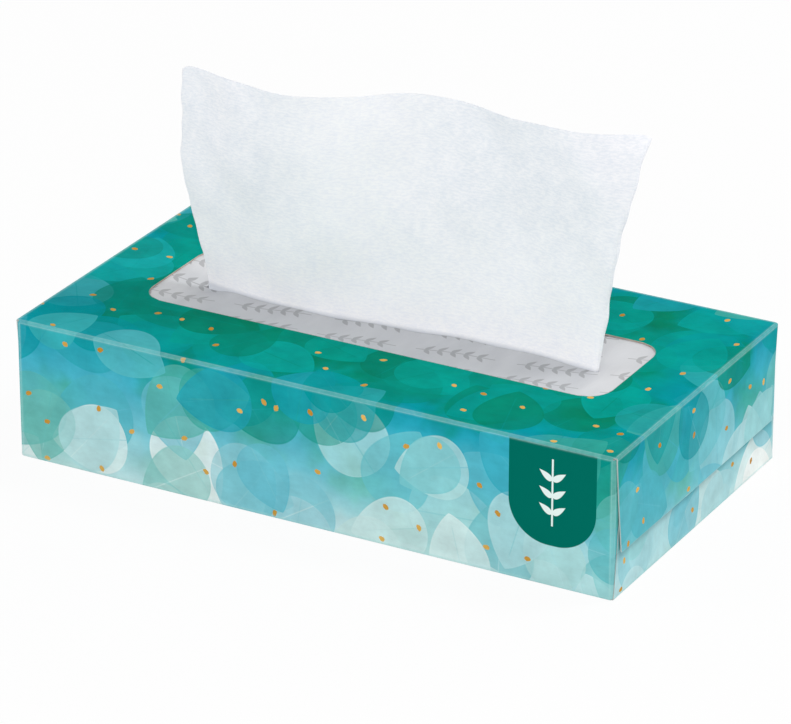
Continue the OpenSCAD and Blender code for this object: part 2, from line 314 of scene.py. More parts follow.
class Effects:
    """Shader node groups that more than one finish uses, each built once."""

    def __init__(self) -> None:
        """Builds the groups."""
        self.scatter = self._scatter()
        self.leaf = self._leaf()
        self.sprig = self._sprig()
        self.fibres = self._fibres()

    @staticmethod
    def start(
        name: str, inputs: Mapping[str, tuple[str, Any]], outputs: Mapping[str, str]
    ) -> tuple[Graph, Any, Any]:
        """Starts a node group with named sockets.

        Args:
            name: The group's name.
            inputs: For each input its kind of socket and its default.
            outputs: For each output its kind of socket.

        Returns:
            The graph, the sockets that come in and those that go out.
        """
        tree = bpy.data.node_groups.new(name, "ShaderNodeTree")
        for key, (kind, default) in inputs.items():
            socket = tree.interface.new_socket(key, in_out="INPUT", socket_type="NodeSocket" + kind)
            socket.default_value = default
        for key, kind in outputs.items():
            tree.interface.new_socket(key, in_out="OUTPUT", socket_type="NodeSocket" + kind)
        graph = Graph(tree)
        return graph, graph.add("NodeGroupInput").outputs, graph.add("NodeGroupOutput").inputs

    @classmethod
    def _scatter(cls) -> bpy.types.NodeTree:
        """Scatters one spot in each cell of a turned and shifted grid.

        The place is turned, divided by the cell's size and shifted. Local is its distance from the nearest
        spot in cells, turned by that spot's own angle, and Centre is the spot's place before all that.

        Returns:
            The node group.
        """
        graph, given, put = cls.start(
            "scatter",
            {
                "Place": ("Vector", ORIGIN),
                "Cell": ("Float", 40.0),
                "Turn": ("Float", 0.0),
                "Shift": ("Vector", ORIGIN),
                "Jitter": ("Float", 0.5),
                "Spin": ("Float", 1.0),
            },
            {"Local": "Vector", "Chance": "Color", "Centre": "Vector"},
        )
        turned = graph.turned(given["Place"], given["Turn"])
        grid = graph.scaled(turned, graph.over(1.0, given["Cell"]))
        grid = graph.vector("ADD", grid, given["Shift"])
        spots = graph.add(
            "ShaderNodeTexVoronoi",
            {"Vector": grid, "Scale": 1.0, "Randomness": given["Jitter"]},
            voronoi_dimensions="2D",
        ).outputs
        away = graph.vector("SUBTRACT", grid, spots["Position"])
        angle = graph.times(graph.channels(spots["Color"])[0], math.tau, given["Spin"])
        back = graph.scaled(graph.vector("SUBTRACT", spots["Position"], given["Shift"]), given["Cell"])
        graph.feed(put["Local"], graph.turned(away, angle))
        graph.feed(put["Chance"], spots["Color"])
        graph.feed(put["Centre"], graph.turned(back, graph.times(given["Turn"], -1.0)))
        return graph.tree

    @classmethod
    def _leaf(cls) -> bpy.types.NodeTree:
        """Draws a leaf along local X, with a round base and a pointed tip.

        Its half width is the root of (1 + t) times (1 - t) to the power of its point, for t from -1 to 1.

        Returns:
            The node group.
        """
        graph, given, put = cls.start(
            "leaf_form",
            {
                "Local": ("Vector", ORIGIN),
                "Half Length": ("Float", 0.44),
                "Half Width": ("Float", 0.22),
                "Point": ("Float", 1.1),
                "Soft": ("Float", 0.006),
            },
            {"Mask": "Float", "Inside": "Float", "Along": "Float"},
        )
        x, y, _ = graph.parts(given["Local"])
        along = graph.over(x, given["Half Length"])
        base = graph.math("SQRT", graph.larger(graph.plus(along, 1.0)))
        tip = graph.math("POWER", graph.larger(graph.minus(1.0, along)), given["Point"])
        half = graph.times(base, tip, given["Half Width"])
        beyond = graph.above(graph.size(along), 1.0)
        inside = graph.minus(graph.minus(half, graph.size(y)), beyond)
        graph.feed(put["Mask"], graph.edge(inside, given["Soft"]))
        graph.feed(put["Inside"], inside)
        graph.feed(put["Along"], along)
        return graph.tree

    def _sprig(self) -> bpy.types.NodeTree:
        """Draws a sprig along local X in millimetres: a stem, and leaves in pairs that lean forward.

        The distance along the stem is folded into one step and the distance across it into one side, so that
        a single leaf, turned by the lean, gives them all. The sizes of leaf and stem are shares of the step.

        Returns:
            The node group.
        """
        lean, centre, half_length, half_width, stem_half = -0.95, 0.42, 0.47, 0.17, 0.055
        graph, given, put = self.start(
            "sprig",
            {
                "Local": ("Vector", ORIGIN),
                "Half Length": ("Float", 9.0),
                "Step": ("Float", 3.4),
                "Soft": ("Float", 0.1),
            },
            {"Mask": "Float"},
        )
        step, soft = given["Step"], given["Soft"]
        x, y, _ = graph.parts(given["Local"])
        across = graph.size(y)
        share = graph.minus(graph.math("FRACT", graph.plus(graph.over(x, step), 0.5)), 0.5)
        folded = graph.joined(graph.times(share, step), graph.minus(across, graph.times(step, centre)))
        leaf = graph.group(
            self.leaf,
            {
                "Local": graph.turned(folded, lean),
                "Half Length": graph.times(step, half_length),
                "Half Width": graph.times(step, half_width),
                "Soft": soft,
            },
        )["Mask"]
        reach = graph.minus(given["Half Length"], graph.size(x))
        leaf = graph.times(leaf, graph.above(reach, graph.times(step, 0.5)))
        stem = graph.edge(graph.minus(graph.times(step, stem_half), across), soft)
        stem = graph.times(stem, graph.above(reach, 0.0))
        graph.feed(put["Mask"], graph.larger(leaf, stem))
        return graph.tree

    @classmethod
    def _fibres(cls) -> bpy.types.NodeTree:
        """Mottle and grain of paper: soft clouds, and fine fibres drawn out along X.

        Returns:
            The node group, which takes the place and both sizes in millimetres.
        """
        graph, given, put = cls.start(
            "fibres",
            {"Place": ("Vector", ORIGIN), "Cloud Size": ("Float", 9.0), "Grain Size": ("Float", 0.6)},
            {"Cloud": "Float", "Grain": "Float"},
        )
        cloud = graph.scaled(given["Place"], graph.over(1.0, given["Cloud Size"]))
        grain = graph.scaled(given["Place"], graph.over(1.0, given["Grain Size"]))
        drawn_out = graph.vector("MULTIPLY", grain, (0.35, 1.0, 1.0))
        graph.feed(put["Cloud"], graph.noise(cloud, 1.0, 4.0, 0.6))
        graph.feed(put["Grain"], graph.noise(drawn_out, 1.0, 3.0, 0.7))
        return graph.tree


def start_material(name: str) -> tuple[bpy.types.Material, Graph, bpy.types.Node]:
    """Starts a material.

    Args:
        name: The material's name.

    Returns:
        The material, its graph and its Principled BSDF.
    """
    material = bpy.data.materials.new(name)
    material.use_nodes = True
    return material, Graph(material.node_tree), material.node_tree.nodes["Principled BSDF"]


@dataclass(frozen=True)
class LeafLayer:
    """One layer of printed leaves.

    Attributes:
        cell: Size of the cells that hold a leaf each.
        turn: Angle of the grid of cells, in radians.
        shift: Shift of the grid, in cells.
        cover: Share of the cells that are filled.
        strength: Strength of the ink.
        half_width: Measure of a leaf's width, in cells.
    """

    cell: float
    turn: float
    shift: Vector
    cover: float
    strength: float
    half_width: float


@dataclass(frozen=True)
class Washes:
    """Inks of the print, which pale downwards.

    A fall is a distance from the top panel's edge, down the sides or, below zero, in from the edge.
    Each row of inks has one for each fall.
    """

    falls: tuple[float, ...] = (-35.0, -15.0, -3.0, 6.0, 18.0, 32.0, 43.0, 52.0)
    green: tuple[Ink, ...] = (
        (0, 121, 91), (0, 128, 98), (0, 136, 111), (26, 152, 138),
        (76, 172, 162), (116, 190, 182), (160, 209, 205), (194, 223, 219),
    )
    blue: tuple[Ink, ...] = (
        (0, 144, 127), (0, 149, 142), (0, 147, 160), (38, 161, 182),
        (76, 177, 197), (114, 192, 206), (160, 211, 216), (194, 225, 227),
    )
    pale: tuple[Ink, ...] = (
        (0, 154, 138), (0, 159, 151), (26, 168, 171), (104, 191, 198),
        (142, 206, 209), (204, 230, 228), (238, 243, 240), (246, 247, 244),
    )

    def group(self) -> bpy.types.NodeTree:
        """Builds the group that gives an ink for a fall and a tone: green at 0, blue at a half, pale at 1.

        Returns:
            The node group.
        """
        graph, given, put = Effects.start(
            "washes", {"Fall": ("Float", 0.0), "Tone": ("Float", 0.5)}, {"Ink": "Color"}
        )
        low, high = self.falls[0], self.falls[-1]
        share = graph.span(given["Fall"], low, high, 0.0, 1.0)
        places = [(fall - low) / (high - low) for fall in self.falls]
        green, blue, pale = (
            graph.ramp(share, [(place, ink(*colour)) for place, colour in zip(places, row)])
            for row in (self.green, self.blue, self.pale)
        )
        cool = graph.mix(graph.smooth(given["Tone"], 0.15, 0.55), green, blue)
        graph.feed(put["Ink"], graph.mix(graph.smooth(given["Tone"], 0.62, 0.95), cool, pale))
        return graph.tree


@dataclass(frozen=True)
class SeedPrint:
    """Gold seeds, one in each cell of a grid, with rough edges. Their half sizes are in cells."""

    effects: Effects
    cell: float = 20.0
    turn: float = 0.9
    shift: Vector = (4.7, 8.2, 0.0)
    jitter: float = 0.95
    half_size: Vector = (0.058, 0.042, 1.0)
    roughness: float = 0.2
    dark: Colour = ink(180, 126, 38)
    middle: Colour = ink(208, 156, 64)
    light: Colour = ink(230, 188, 106)

    def over(self, graph: Graph, place: Socket, under: Socket) -> Socket:
        """Prints the seeds: ellipses whose edges noise pushes in and out.

        Args:
            graph: Graph of the material.
            place: Place on the blank.
            under: Colour that is printed on.

        Returns:
            The printed colour.
        """
        spots = graph.group(
            self.effects.scatter,
            {
                "Place": place,
                "Cell": self.cell,
                "Turn": self.turn,
                "Shift": self.shift,
                "Jitter": self.jitter,
            },
        )
        rough = graph.noise(place, 0.9, 3.0, 0.7)
        reach = graph.length(graph.vector("DIVIDE", spots["Local"], self.half_size))
        reach = graph.plus(reach, graph.vary(rough, -self.roughness, self.roughness))
        gold = graph.mix(graph.channels(spots["Chance"])[1], self.dark, self.light)
        gold = graph.mix(graph.span(rough, 0.35, 0.65, 0.0, 0.5), gold, self.middle)
        return graph.mix(graph.smooth(reach, 1.1, 0.92), under, gold)


@dataclass(frozen=True)
class TabPrint:
    """The tab that hangs from the front's top fold, with an upright pale sprig on it."""

    effects: Effects
    middle: float = 91.2
    half: float = 15.9
    depth: float = 36.0
    radius: float = 14.5
    soft: float = 0.12
    sprig_share: float = 0.47
    sprig_half: float = 12.0
    sprig_step: float = 6.0
    sprig_soft: float = 0.08
    ground: Colour = ink(0, 105, 92)
    sprig_ink: Colour = ink(226, 240, 236)

    def over(self, graph: Graph, place: Socket, fall: Socket, under: Socket) -> Socket:
        """Prints the tab.

        Its edge is where the distance from a core, a box shrunk by the corner radius, equals that radius.

        Args:
            graph: Graph of the material.
            place: Place on the blank.
            fall: Fall of that place.
            under: Colour that is printed on.

        Returns:
            The printed colour.
        """
        x, y, _ = graph.parts(place)
        aside = graph.minus(x, self.middle)
        side = graph.minus(graph.size(aside), self.half - self.radius)
        down = graph.minus(fall, self.depth - self.radius)
        beyond = graph.length(graph.joined(graph.larger(side), graph.larger(down)))
        front = graph.times(graph.below(y, 0.0), graph.smooth(fall, 0.2, 0.6))
        inside = graph.times(graph.edge(graph.minus(self.radius, beyond), self.soft), front)
        upright = graph.joined(graph.minus(self.sprig_share * self.depth, fall), aside)
        sizes = {"Half Length": self.sprig_half, "Step": self.sprig_step, "Soft": self.sprig_soft}
        sprig = graph.group(self.effects.sprig, {"Local": upright} | sizes)["Mask"]
        return graph.mix(inside, under, graph.mix(sprig, self.ground, self.sprig_ink))


@dataclass(frozen=True)
class FoldWearAndHighlight:
    """Wear of the print and painted highlight along the folds: a pale band along each fold, with a line to
    both sides of it, and pale cut edges.

    Attributes:
        reach: Distance from a fold that the band's stops divide.
        stops: Shares of the reach, with the share of pale ink at each.
        fold_ink: The bands' ink, both wear and painted highlight.
        cut_ink: The cut edges' ink.
        cut_share: Share of that ink at a cut edge.
    """

    reach: float = 3.0
    stops: tuple[tuple[float, float], ...] = (
        (0.0, 0.28), (0.16, 0.26), (0.22, 0.46), (0.27, 0.4), (0.35, 0.1), (0.5, 0.0),
    )
    fold_ink: Colour = ink(168, 216, 214)
    cut_ink: Colour = ink(226, 226, 220)
    cut_share: float = 0.2

    def over(self, graph: Graph, place: Socket, under: Socket) -> tuple[Socket, Socket]:
        """Wears the print unevenly by noise, and paints highlight along the folds.

        Args:
            graph: Graph of the material.
            place: Place on the blank.
            under: Colour that is worn.

        Returns:
            The worn colour, and the bands along the folds.
        """
        band = graph.ramp(
            graph.over(graph.carried("crease"), self.reach), [(at, grey(lift)) for at, lift in self.stops]
        )
        rub = graph.vary(graph.noise(place, 0.5, 3.0, 0.6), 0.7, 1.15)
        # The fold bands are partly ink wear and partly painted highlight
        worn_and_lit = graph.mix(graph.math("MULTIPLY", band, rub, clamp=True), under, self.fold_ink)
        frayed = graph.times(graph.smooth(graph.carried("cut"), 0.3, 0.05), self.cut_share)
        return graph.mix(frayed, worn_and_lit, self.cut_ink), band


@dataclass(frozen=True)
class PrintFinish:
    """Satin print on white-lined board: washes of green and teal, leaves, gold seeds and a tab, with painted
    highlight along the folds and painted shade under the upper end flaps.

    Attributes:
        effects: The shared node groups.
        half_length: Half length of the top panel.
        half_width: Half width of the top panel.
        flap_edge: Fall at which the upper end flaps end.
        washes: The inks.
        layers: The layers of leaves, from the lowest.
        leaf_half: Half length of a leaf, in cells.
        leaf_point: How pointed a leaf is.
        leaf_jitter: How far leaves stray from the middles of their cells.
        touch: Share of painted shade on the lower end flaps at the upper flaps' edge.
        touch_reach: Distance from that edge at which the painted shade has faded.
        touch_ink: Grey of the painted shade.
    """

    effects: Effects
    half_length: float
    half_width: float
    flap_edge: float
    washes: Washes = Washes()
    layers: tuple[LeafLayer, ...] = (
        LeafLayer(43.0, 0.35, (0.21, 0.67, 0.0), 1.00, 0.74, 0.31),
        LeafLayer(38.0, 1.20, (5.43, 2.15, 0.0), 0.95, 0.74, 0.32),
        LeafLayer(41.0, 2.05, (9.71, 4.32, 0.0), 0.90, 0.74, 0.30),
        LeafLayer(35.0, 2.75, (3.37, 8.54, 0.0), 0.80, 0.76, 0.31),
        LeafLayer(37.0, 3.60, (7.19, 6.81, 0.0), 0.65, 0.78, 0.30),
        LeafLayer(32.0, 4.45, (1.93, 3.76, 0.0), 0.50, 0.80, 0.30),
    )
    leaf_half: float = 0.4
    leaf_point: float = 0.85
    leaf_jitter: float = 0.2
    # Painted shade on the lower end flaps just under the upper flaps' edge
    touch: float = 0.24
    touch_reach: float = 4.5
    touch_ink: Colour = ink(46, 92, 92)

    def _fall(self, graph: Graph, place: Socket) -> Socket:
        """Fall of a place on the blank: the larger of its distances past the top panel's two half sizes.

        Args:
            graph: Graph of the material or group.
            place: Place on the blank.

        Returns:
            The fall.
        """
        half = (self.half_length, self.half_width, 0.0)
        past = graph.vector("SUBTRACT", graph.vector("ABSOLUTE", place), half)
        return graph.larger(*graph.parts(past)[:2])

    def _leaf_layer(self, washes: bpy.types.NodeTree) -> bpy.types.NodeTree:
        """Builds the group that prints one layer of leaves over a colour.

        A leaf takes the ink of its own centre, at a fall and a tone that chance shifts. Its ink thins towards
        the base and along a rib, and gathers at the rim.

        Args:
            washes: Group that gives the inks.

        Returns:
            The node group.
        """
        graph, given, put = Effects.start(
            "leaf_layer",
            {
                "Under": ("Color", WHITE),
                "Place": ("Vector", ORIGIN),
                "Cell": ("Float", 40.0),
                "Turn": ("Float", 0.0),
                "Shift": ("Vector", ORIGIN),
                "Cover": ("Float", 1.0),
                "Strength": ("Float", 0.6),
                "Half Width": ("Float", 0.25),
            },
            {"Colour": "Color"},
        )
        grid = {key: given[key] for key in ("Place", "Cell", "Turn", "Shift")}
        spots = graph.group(self.effects.scatter, grid | {"Jitter": self.leaf_jitter})
        leaf = graph.group(
            self.effects.leaf,
            {
                "Local": spots["Local"],
                "Half Length": self.leaf_half,
                "Half Width": given["Half Width"],
                "Point": self.leaf_point,
            },
        )
        across = graph.size(graph.parts(spots["Local"])[1])
        rib = graph.times(graph.smooth(across, 0.008, 0.003), graph.smooth(leaf["Along"], 0.75, 0.5))
        first, second, third = graph.channels(spots["Chance"])
        fall = self._fall(graph, spots["Centre"])
        spread = graph.span(fall, -14.0, 14.0, 4.0, 14.0)
        fall = graph.plus(fall, graph.times(graph.span(second, 0.0, 1.0, -1.0, 1.0), spread))
        tone = graph.math("FRACT", graph.plus(graph.times(first, 7.0), third))
        tone = graph.plus(tone, graph.span(fall, 22.0, 44.0, 0.0, 0.24))
        leaf_ink = graph.group(washes, {"Fall": fall, "Tone": tone})["Ink"]
        wash = graph.span(leaf["Along"], -1.0, 1.0, 0.84, 1.0)
        rim = graph.times(graph.smooth(leaf["Inside"], 0.03, 0.0), 0.16)
        amount = graph.times(leaf["Mask"], graph.below(third, given["Cover"]), given["Strength"])
        amount = graph.math("MULTIPLY", amount, graph.plus(wash, rim), clamp=True)
        amount = graph.times(amount, graph.span(rib, 0.0, 1.0, 1.0, 0.6))
        graph.feed(put["Colour"], graph.mix(amount, given["Under"], leaf_ink))
        return graph.tree

    def _leaves(self, graph: Graph, place: Socket, fall: Socket) -> Socket:
        """Prints the ground, whose fall and tone noise blurs, and the layers of leaves on it.

        Args:
            graph: Graph of the material.
            place: Place on the blank.
            fall: Fall of that place.

        Returns:
            The printed colour.
        """
        washes = self.washes.group()
        layer_tree = self._leaf_layer(washes)
        cloud = graph.noise(place, 0.035, 3.0, 0.55)
        blurred = graph.plus(fall, graph.vary(cloud, -4.0, 4.0))
        tone = graph.span(cloud, 0.35, 0.65, 0.2, 0.65)
        colour = graph.group(washes, {"Fall": blurred, "Tone": tone})["Ink"]
        for layer in self.layers:
            values = {key.replace("_", " ").title(): value for key, value in vars(layer).items()}
            colour = graph.group(layer_tree, {"Under": colour, "Place": place} | values)["Colour"]
        return colour

    def _touched(self, graph: Graph, place: Socket, fall: Socket, under: Socket) -> Socket:
        """Paints shade on the ends just past the upper flaps' edge, where the flaps' shadow falls on the
        lower flaps.

        Args:
            graph: Graph of the material.
            place: Place on the blank.
            fall: Fall of that place.
            under: Colour that the shade is painted on.

        Returns:
            The colour with the painted shade.
        """
        end = graph.above(graph.size(graph.parts(place)[0]), self.half_length)
        past = graph.above(fall, self.flap_edge + 0.05)
        near = graph.smooth(fall, self.flap_edge + self.touch_reach, self.flap_edge + 0.3)
        # Painted shade under the upper flaps' edge, darkest at it and fading downwards
        return graph.mix(graph.times(end, past, near, self.touch), under, self.touch_ink)

    def material(self) -> bpy.types.Material:
        """Builds the material, which reads the blank's UV map and the crease and cut attributes.

        Returns:
            The material.
        """
        material, graph, shader = start_material("carton_print")
        place = graph.blank_place()
        fall = self._fall(graph, place)
        colour = self._leaves(graph, place, fall)
        wet = graph.group(self.effects.fibres, {"Place": place, "Cloud Size": 11.0, "Grain Size": 2.6})
        shade = graph.times(graph.vary(wet["Cloud"], 0.88, 1.1), graph.vary(wet["Grain"], 0.965, 1.035))
        shades = graph.add("ShaderNodeCombineColor", {0: shade, 1: shade, 2: shade}).outputs[0]
        colour = graph.mix(1.0, colour, shades, "MULTIPLY")
        colour = SeedPrint(self.effects).over(graph, place, colour)
        colour = TabPrint(self.effects).over(graph, place, fall, colour)
        colour, band = FoldWearAndHighlight().over(graph, place, colour)
        colour = self._touched(graph, place, fall, colour)
        graph.feed(shader.inputs["Base Color"], colour)
        graph.feed(shader.inputs["Roughness"], graph.vary(wet["Grain"], 0.42, 0.5))
        shader.inputs["Specular IOR Level"].default_value = 0.005
        normal = graph.bump(graph.noise(place, 1.6, 2.0, 0.5), 0.25, 0.02)
        graph.feed(shader.inputs["Normal"], graph.bump(band, 0.35, 0.08, normal))
        return material


@dataclass(frozen=True)
class RawBoardFinish:
    """Unprinted recycled board: the inside of the carton, and its cut edges, which are greyer at the ends."""

    effects: Effects
    body: Colour = ink(176, 154, 138)
    light: Colour = ink(206, 190, 176)
    speck: Colour = ink(140, 124, 112)
    grey: Colour = ink(184, 195, 193)
    window_half: float = 96.0
    grey_reach: float = 8.0

    def material(self, name: str, greyed: float) -> bpy.types.Material:
        """Builds the material on Object coordinates.

        Args:
            name: The material's name.
            greyed: Share of grey towards the ends of the carton.

        Returns:
            The material.
        """
        material, graph, shader = start_material(name)
        place = graph.object_place()
        paper = graph.group(self.effects.fibres, {"Place": place, "Cloud Size": 5.0, "Grain Size": 0.5})
        colour = graph.mix(graph.smooth(paper["Cloud"], 0.35, 0.7), self.body, self.light)
        outward = graph.size(graph.parts(place)[0])
        end = graph.smooth(outward, self.window_half, self.window_half + self.grey_reach)
        colour = graph.mix(graph.times(end, greyed), colour, self.grey)
        specks = graph.times(graph.smooth(paper["Grain"], 0.62, 0.75), 0.4)
        graph.feed(shader.inputs["Base Color"], graph.mix(specks, colour, self.speck))
        shader.inputs["Roughness"].default_value = 0.85
        graph.feed(shader.inputs["Normal"], graph.bump(paper["Grain"], 0.4, 0.03))
        return material


@dataclass(frozen=True)
class FilmFinish:
    """Milky plastic film with a grey print of slanting sprigs.

    Painted shade darkens it in front of the sheet, where the sheet's shadow falls, and in a round spot at the
    slit's left end.
    """

    effects: Effects
    film: Colour = ink(207, 208, 211)
    # Colours of the painted shade: in front of the sheet, and in a spot at the slit's left end
    hollow: Colour = ink(188, 190, 194)
    pocket: Colour = ink(186, 189, 193)
    pocket_at: Vector = (-80.0, 0.5, 0.0)
    pocket_size: Vector = (14.0, 11.0, 1.0)
    pocket_share: float = 0.75
    milk: Colour = ink(236, 237, 239)
    milk_share: float = 0.2
    print_grey: float = 0.66
    print_cell: Vector = (35.0, 14.0, 1.0)
    print_turn: float = -0.16
    print_shift: Vector = (0.31, 0.17, 0.0)
    print_jitter: float = 0.1
    sprig_half: float = 14.1
    sprig_step: float = 4.7
    slit_centre: float = 1.2
    slit_half: float = 76.0

    def _sprigs(self, graph: Graph, place: Socket) -> Socket:
        """Prints a sprig in each cell of a turned grid of oblong cells.

        Args:
            graph: Graph of the material.
            place: Place on the film.

        Returns:
            The sprigs' mask.
        """
        turned = graph.turned(graph.vector("MULTIPLY", place, LEVEL), self.print_turn)
        spots = graph.group(
            self.effects.scatter,
            {
                "Place": graph.vector("DIVIDE", turned, self.print_cell),
                "Cell": 1.0,
                "Shift": self.print_shift,
                "Jitter": self.print_jitter,
                "Spin": 0.0,
            },
        )
        local = graph.vector("MULTIPLY", spots["Local"], self.print_cell)
        values = {"Local": local, "Half Length": self.sprig_half, "Step": self.sprig_step}
        return graph.group(self.effects.sprig, values)["Mask"]

    def _shaded(self, graph: Graph, place: Socket, haze: Socket) -> Socket:
        """Film's colour with painted shade: darker along the slit's front and round a spot at the slit's left
        end, and milky by noise.

        Args:
            graph: Graph of the material.
            place: Place on the film.
            haze: Noise.

        Returns:
            The colour.
        """
        x, y, _ = graph.parts(place)
        aside = graph.plus(graph.size(graph.minus(x, self.slit_centre)), graph.vary(haze, -3.0, 3.0))
        along = graph.smooth(aside, self.slit_half + 10.0, self.slit_half - 5.0)
        before = graph.times(graph.smooth(y, 9.0, 0.0), graph.span(y, -24.0, -6.0, 0.8, 1.0))
        # Painted shade on the film along the slit's front, where the sheet's shadow falls
        colour = graph.mix(graph.times(along, before), self.film, self.hollow)
        # Painted shade in a round spot at the slit's left end
        away = graph.vector("DIVIDE", graph.vector("SUBTRACT", place, self.pocket_at), self.pocket_size)
        near = graph.smooth(graph.length(graph.vector("MULTIPLY", away, LEVEL)), 1.0, 0.0)
        colour = graph.mix(graph.times(near, self.pocket_share), colour, self.pocket)
        return graph.mix(graph.vary(haze, 0.0, self.milk_share), colour, self.milk)

    def material(self) -> bpy.types.Material:
        """Builds the material on Object coordinates.

        Returns:
            The material.
        """
        material, graph, shader = start_material("window_film")
        place = graph.object_place()
        haze = graph.noise(graph.vector("MULTIPLY", place, (1.0, 0.35, 1.0)), 0.12, 3.0, 0.6)
        colour = self._shaded(graph, place, haze)
        printed = graph.mix(1.0, colour, grey(self.print_grey), "MULTIPLY")
        graph.feed(shader.inputs["Base Color"], graph.mix(self._sprigs(graph, place), colour, printed))
        graph.feed(shader.inputs["Roughness"], graph.vary(haze, 0.38, 0.48))
        shader.inputs["Specular IOR Level"].default_value = 0.3
        creases = graph.noise(graph.vector("MULTIPLY", place, (1.0, 0.22, 1.0)), 0.16, 4.0, 0.55)
        graph.feed(shader.inputs["Normal"], graph.bump(creases, 0.5, 0.5))
        return material


@dataclass(frozen=True)
class TissueFinish:
    """Soft two-ply tissue: cool white with a faint mottle, loose fibres and a fine crepe, with painted light
    low down and along the crest, and painted shade at the slit.

    Attributes:
        effects: The shared node groups.
        name: The material's name.
        body: Pale tone of the mottle.
        shade: Dark tone of the mottle.
        fresh: Pale tone of the painted light low down and along the crest.
        fresh_shade: Dark tone of the mottle there.
        fresh_heights: Heights between which the painted light grows.
        crest_at: Place across the sheet of the crest's painted light.
        crest_half: Distance from the crest at which its painted light has faded.
        slit_shade: Painted shade along the slit, where the film's lip meets the sheet.
        slit_heights: Heights between which that painted shade grows.
        slit_share: Share of that painted shade.
    """

    effects: Effects
    name: str = "tissue"
    body: Colour = ink(248, 248, 251)
    shade: Colour = ink(231, 235, 242)
    fresh: Colour = ink(254, 254, 255)
    fresh_shade: Colour = ink(242, 244, 250)
    fresh_heights: tuple[float, float] = (108.0, 60.0)
    crest_at: float = -18.0
    crest_half: float = 44.0
    slit_shade: Colour = ink(206, 211, 219)
    slit_heights: tuple[float, float] = (51.2, 49.0)
    slit_share: float = 0.8

    def _dress(self, graph: Graph, shader: bpy.types.Node, place: Socket) -> tuple[Socket, Socket]:
        """Colours the shader from the paper's mottle and grain, with painted light low down and at the crest
        and painted shade at the slit.

        Args:
            graph: Graph of the material.
            shader: Its Principled BSDF.
            place: Place on the paper, in millimetres.

        Returns:
            The mottle and the grain.
        """
        paper = graph.group(self.effects.fibres, {"Place": place, "Cloud Size": 6.0, "Grain Size": 0.7})
        cloud = graph.span(paper["Cloud"], 0.34, 0.66, 0.0, 0.45)
        mottle = graph.plus(cloud, graph.span(paper["Grain"], 0.42, 0.58, 0.0, 0.55))
        height = graph.parts(graph.object_place())[2]
        # Painted light: paler tones low down and along the crest, to even out how the sheet is lit
        aside = graph.size(graph.minus(graph.parts(place)[0], self.crest_at))
        low = graph.smooth(height, *self.fresh_heights)
        light = graph.larger(low, graph.smooth(aside, self.crest_half, 0.0))
        pale = graph.mix(light, self.body, self.fresh)
        colour = graph.mix(mottle, pale, graph.mix(light, self.shade, self.fresh_shade))
        # Painted shade just above the slit, where the film's lip meets the sheet
        slit = graph.times(graph.smooth(height, *self.slit_heights), self.slit_share)
        graph.feed(shader.inputs["Base Color"], graph.mix(slit, colour, self.slit_shade))
        shader.inputs["Roughness"].default_value = 0.95
        shader.inputs["Specular IOR Level"].default_value = 0.15
        return paper["Cloud"], paper["Grain"]

    def material(self) -> bpy.types.Material:
        """Builds the material on the sheet's own UV map, so that the paper follows its folds.

        Returns:
            The material.
        """
        material, graph, shader = start_material(self.name)
        place = graph.blank_place()
        cloud, grain = self._dress(graph, shader, place)
        crepe = graph.noise(graph.vector("MULTIPLY", place, (0.25, 1.0, 1.0)), 1.3, 2.0, 0.6)
        normal = graph.bump(grain, 0.3, 0.12, graph.bump(cloud, 0.35, 0.5))
        graph.feed(shader.inputs["Normal"], graph.bump(crepe, 0.25, 0.08, normal))
        return material

    def stacked(self) -> bpy.types.Material:
        """Builds the material of the stack on Object coordinates, with its sheets' edges as fine lines.

        Returns:
            The material.
        """
        material, graph, shader = start_material("stacked_" + self.name)
        place = graph.object_place()
        # The stack lies below the slit's heights, so it takes that painted shade all over
        _, grain = self._dress(graph, shader, place)
        leaves = graph.noise(graph.vector("MULTIPLY", place, (0.02, 0.02, 2.6)), 1.0, 2.0, 0.6)
        graph.feed(shader.inputs["Normal"], graph.bump(grain, 0.3, 0.1, graph.bump(leaves, 0.8, 0.4)))
        return material


@dataclass(frozen=True)
class FloorFinish:
    """White studio floor that keeps a soft shadow and shows white to the camera and in reflections."""

    white: float = 0.85
    glow: float = 0.94

    def material(self) -> bpy.types.Material:
        """Builds the material: a white that the lamps light, mixed with a plain white glow on direct views.

        Returns:
            The material.
        """
        material, graph, shader = start_material("floor_white")
        shader.inputs["Base Color"].default_value = grey(self.white)
        shader.inputs["Roughness"].default_value = 0.9
        shader.inputs["Specular IOR Level"].default_value = 0.0
        plain = graph.add("ShaderNodeEmission", {"Color": WHITE, "Strength": 1.0})
        glow = graph.times(graph.seen(), self.glow)
        mixed = graph.add("ShaderNodeMixShader", {0: glow, 1: shader.outputs[0], 2: plain.outputs[0]})
        graph.feed(material.node_tree.nodes["Material Output"].inputs["Surface"], mixed.outputs[0])
        return material


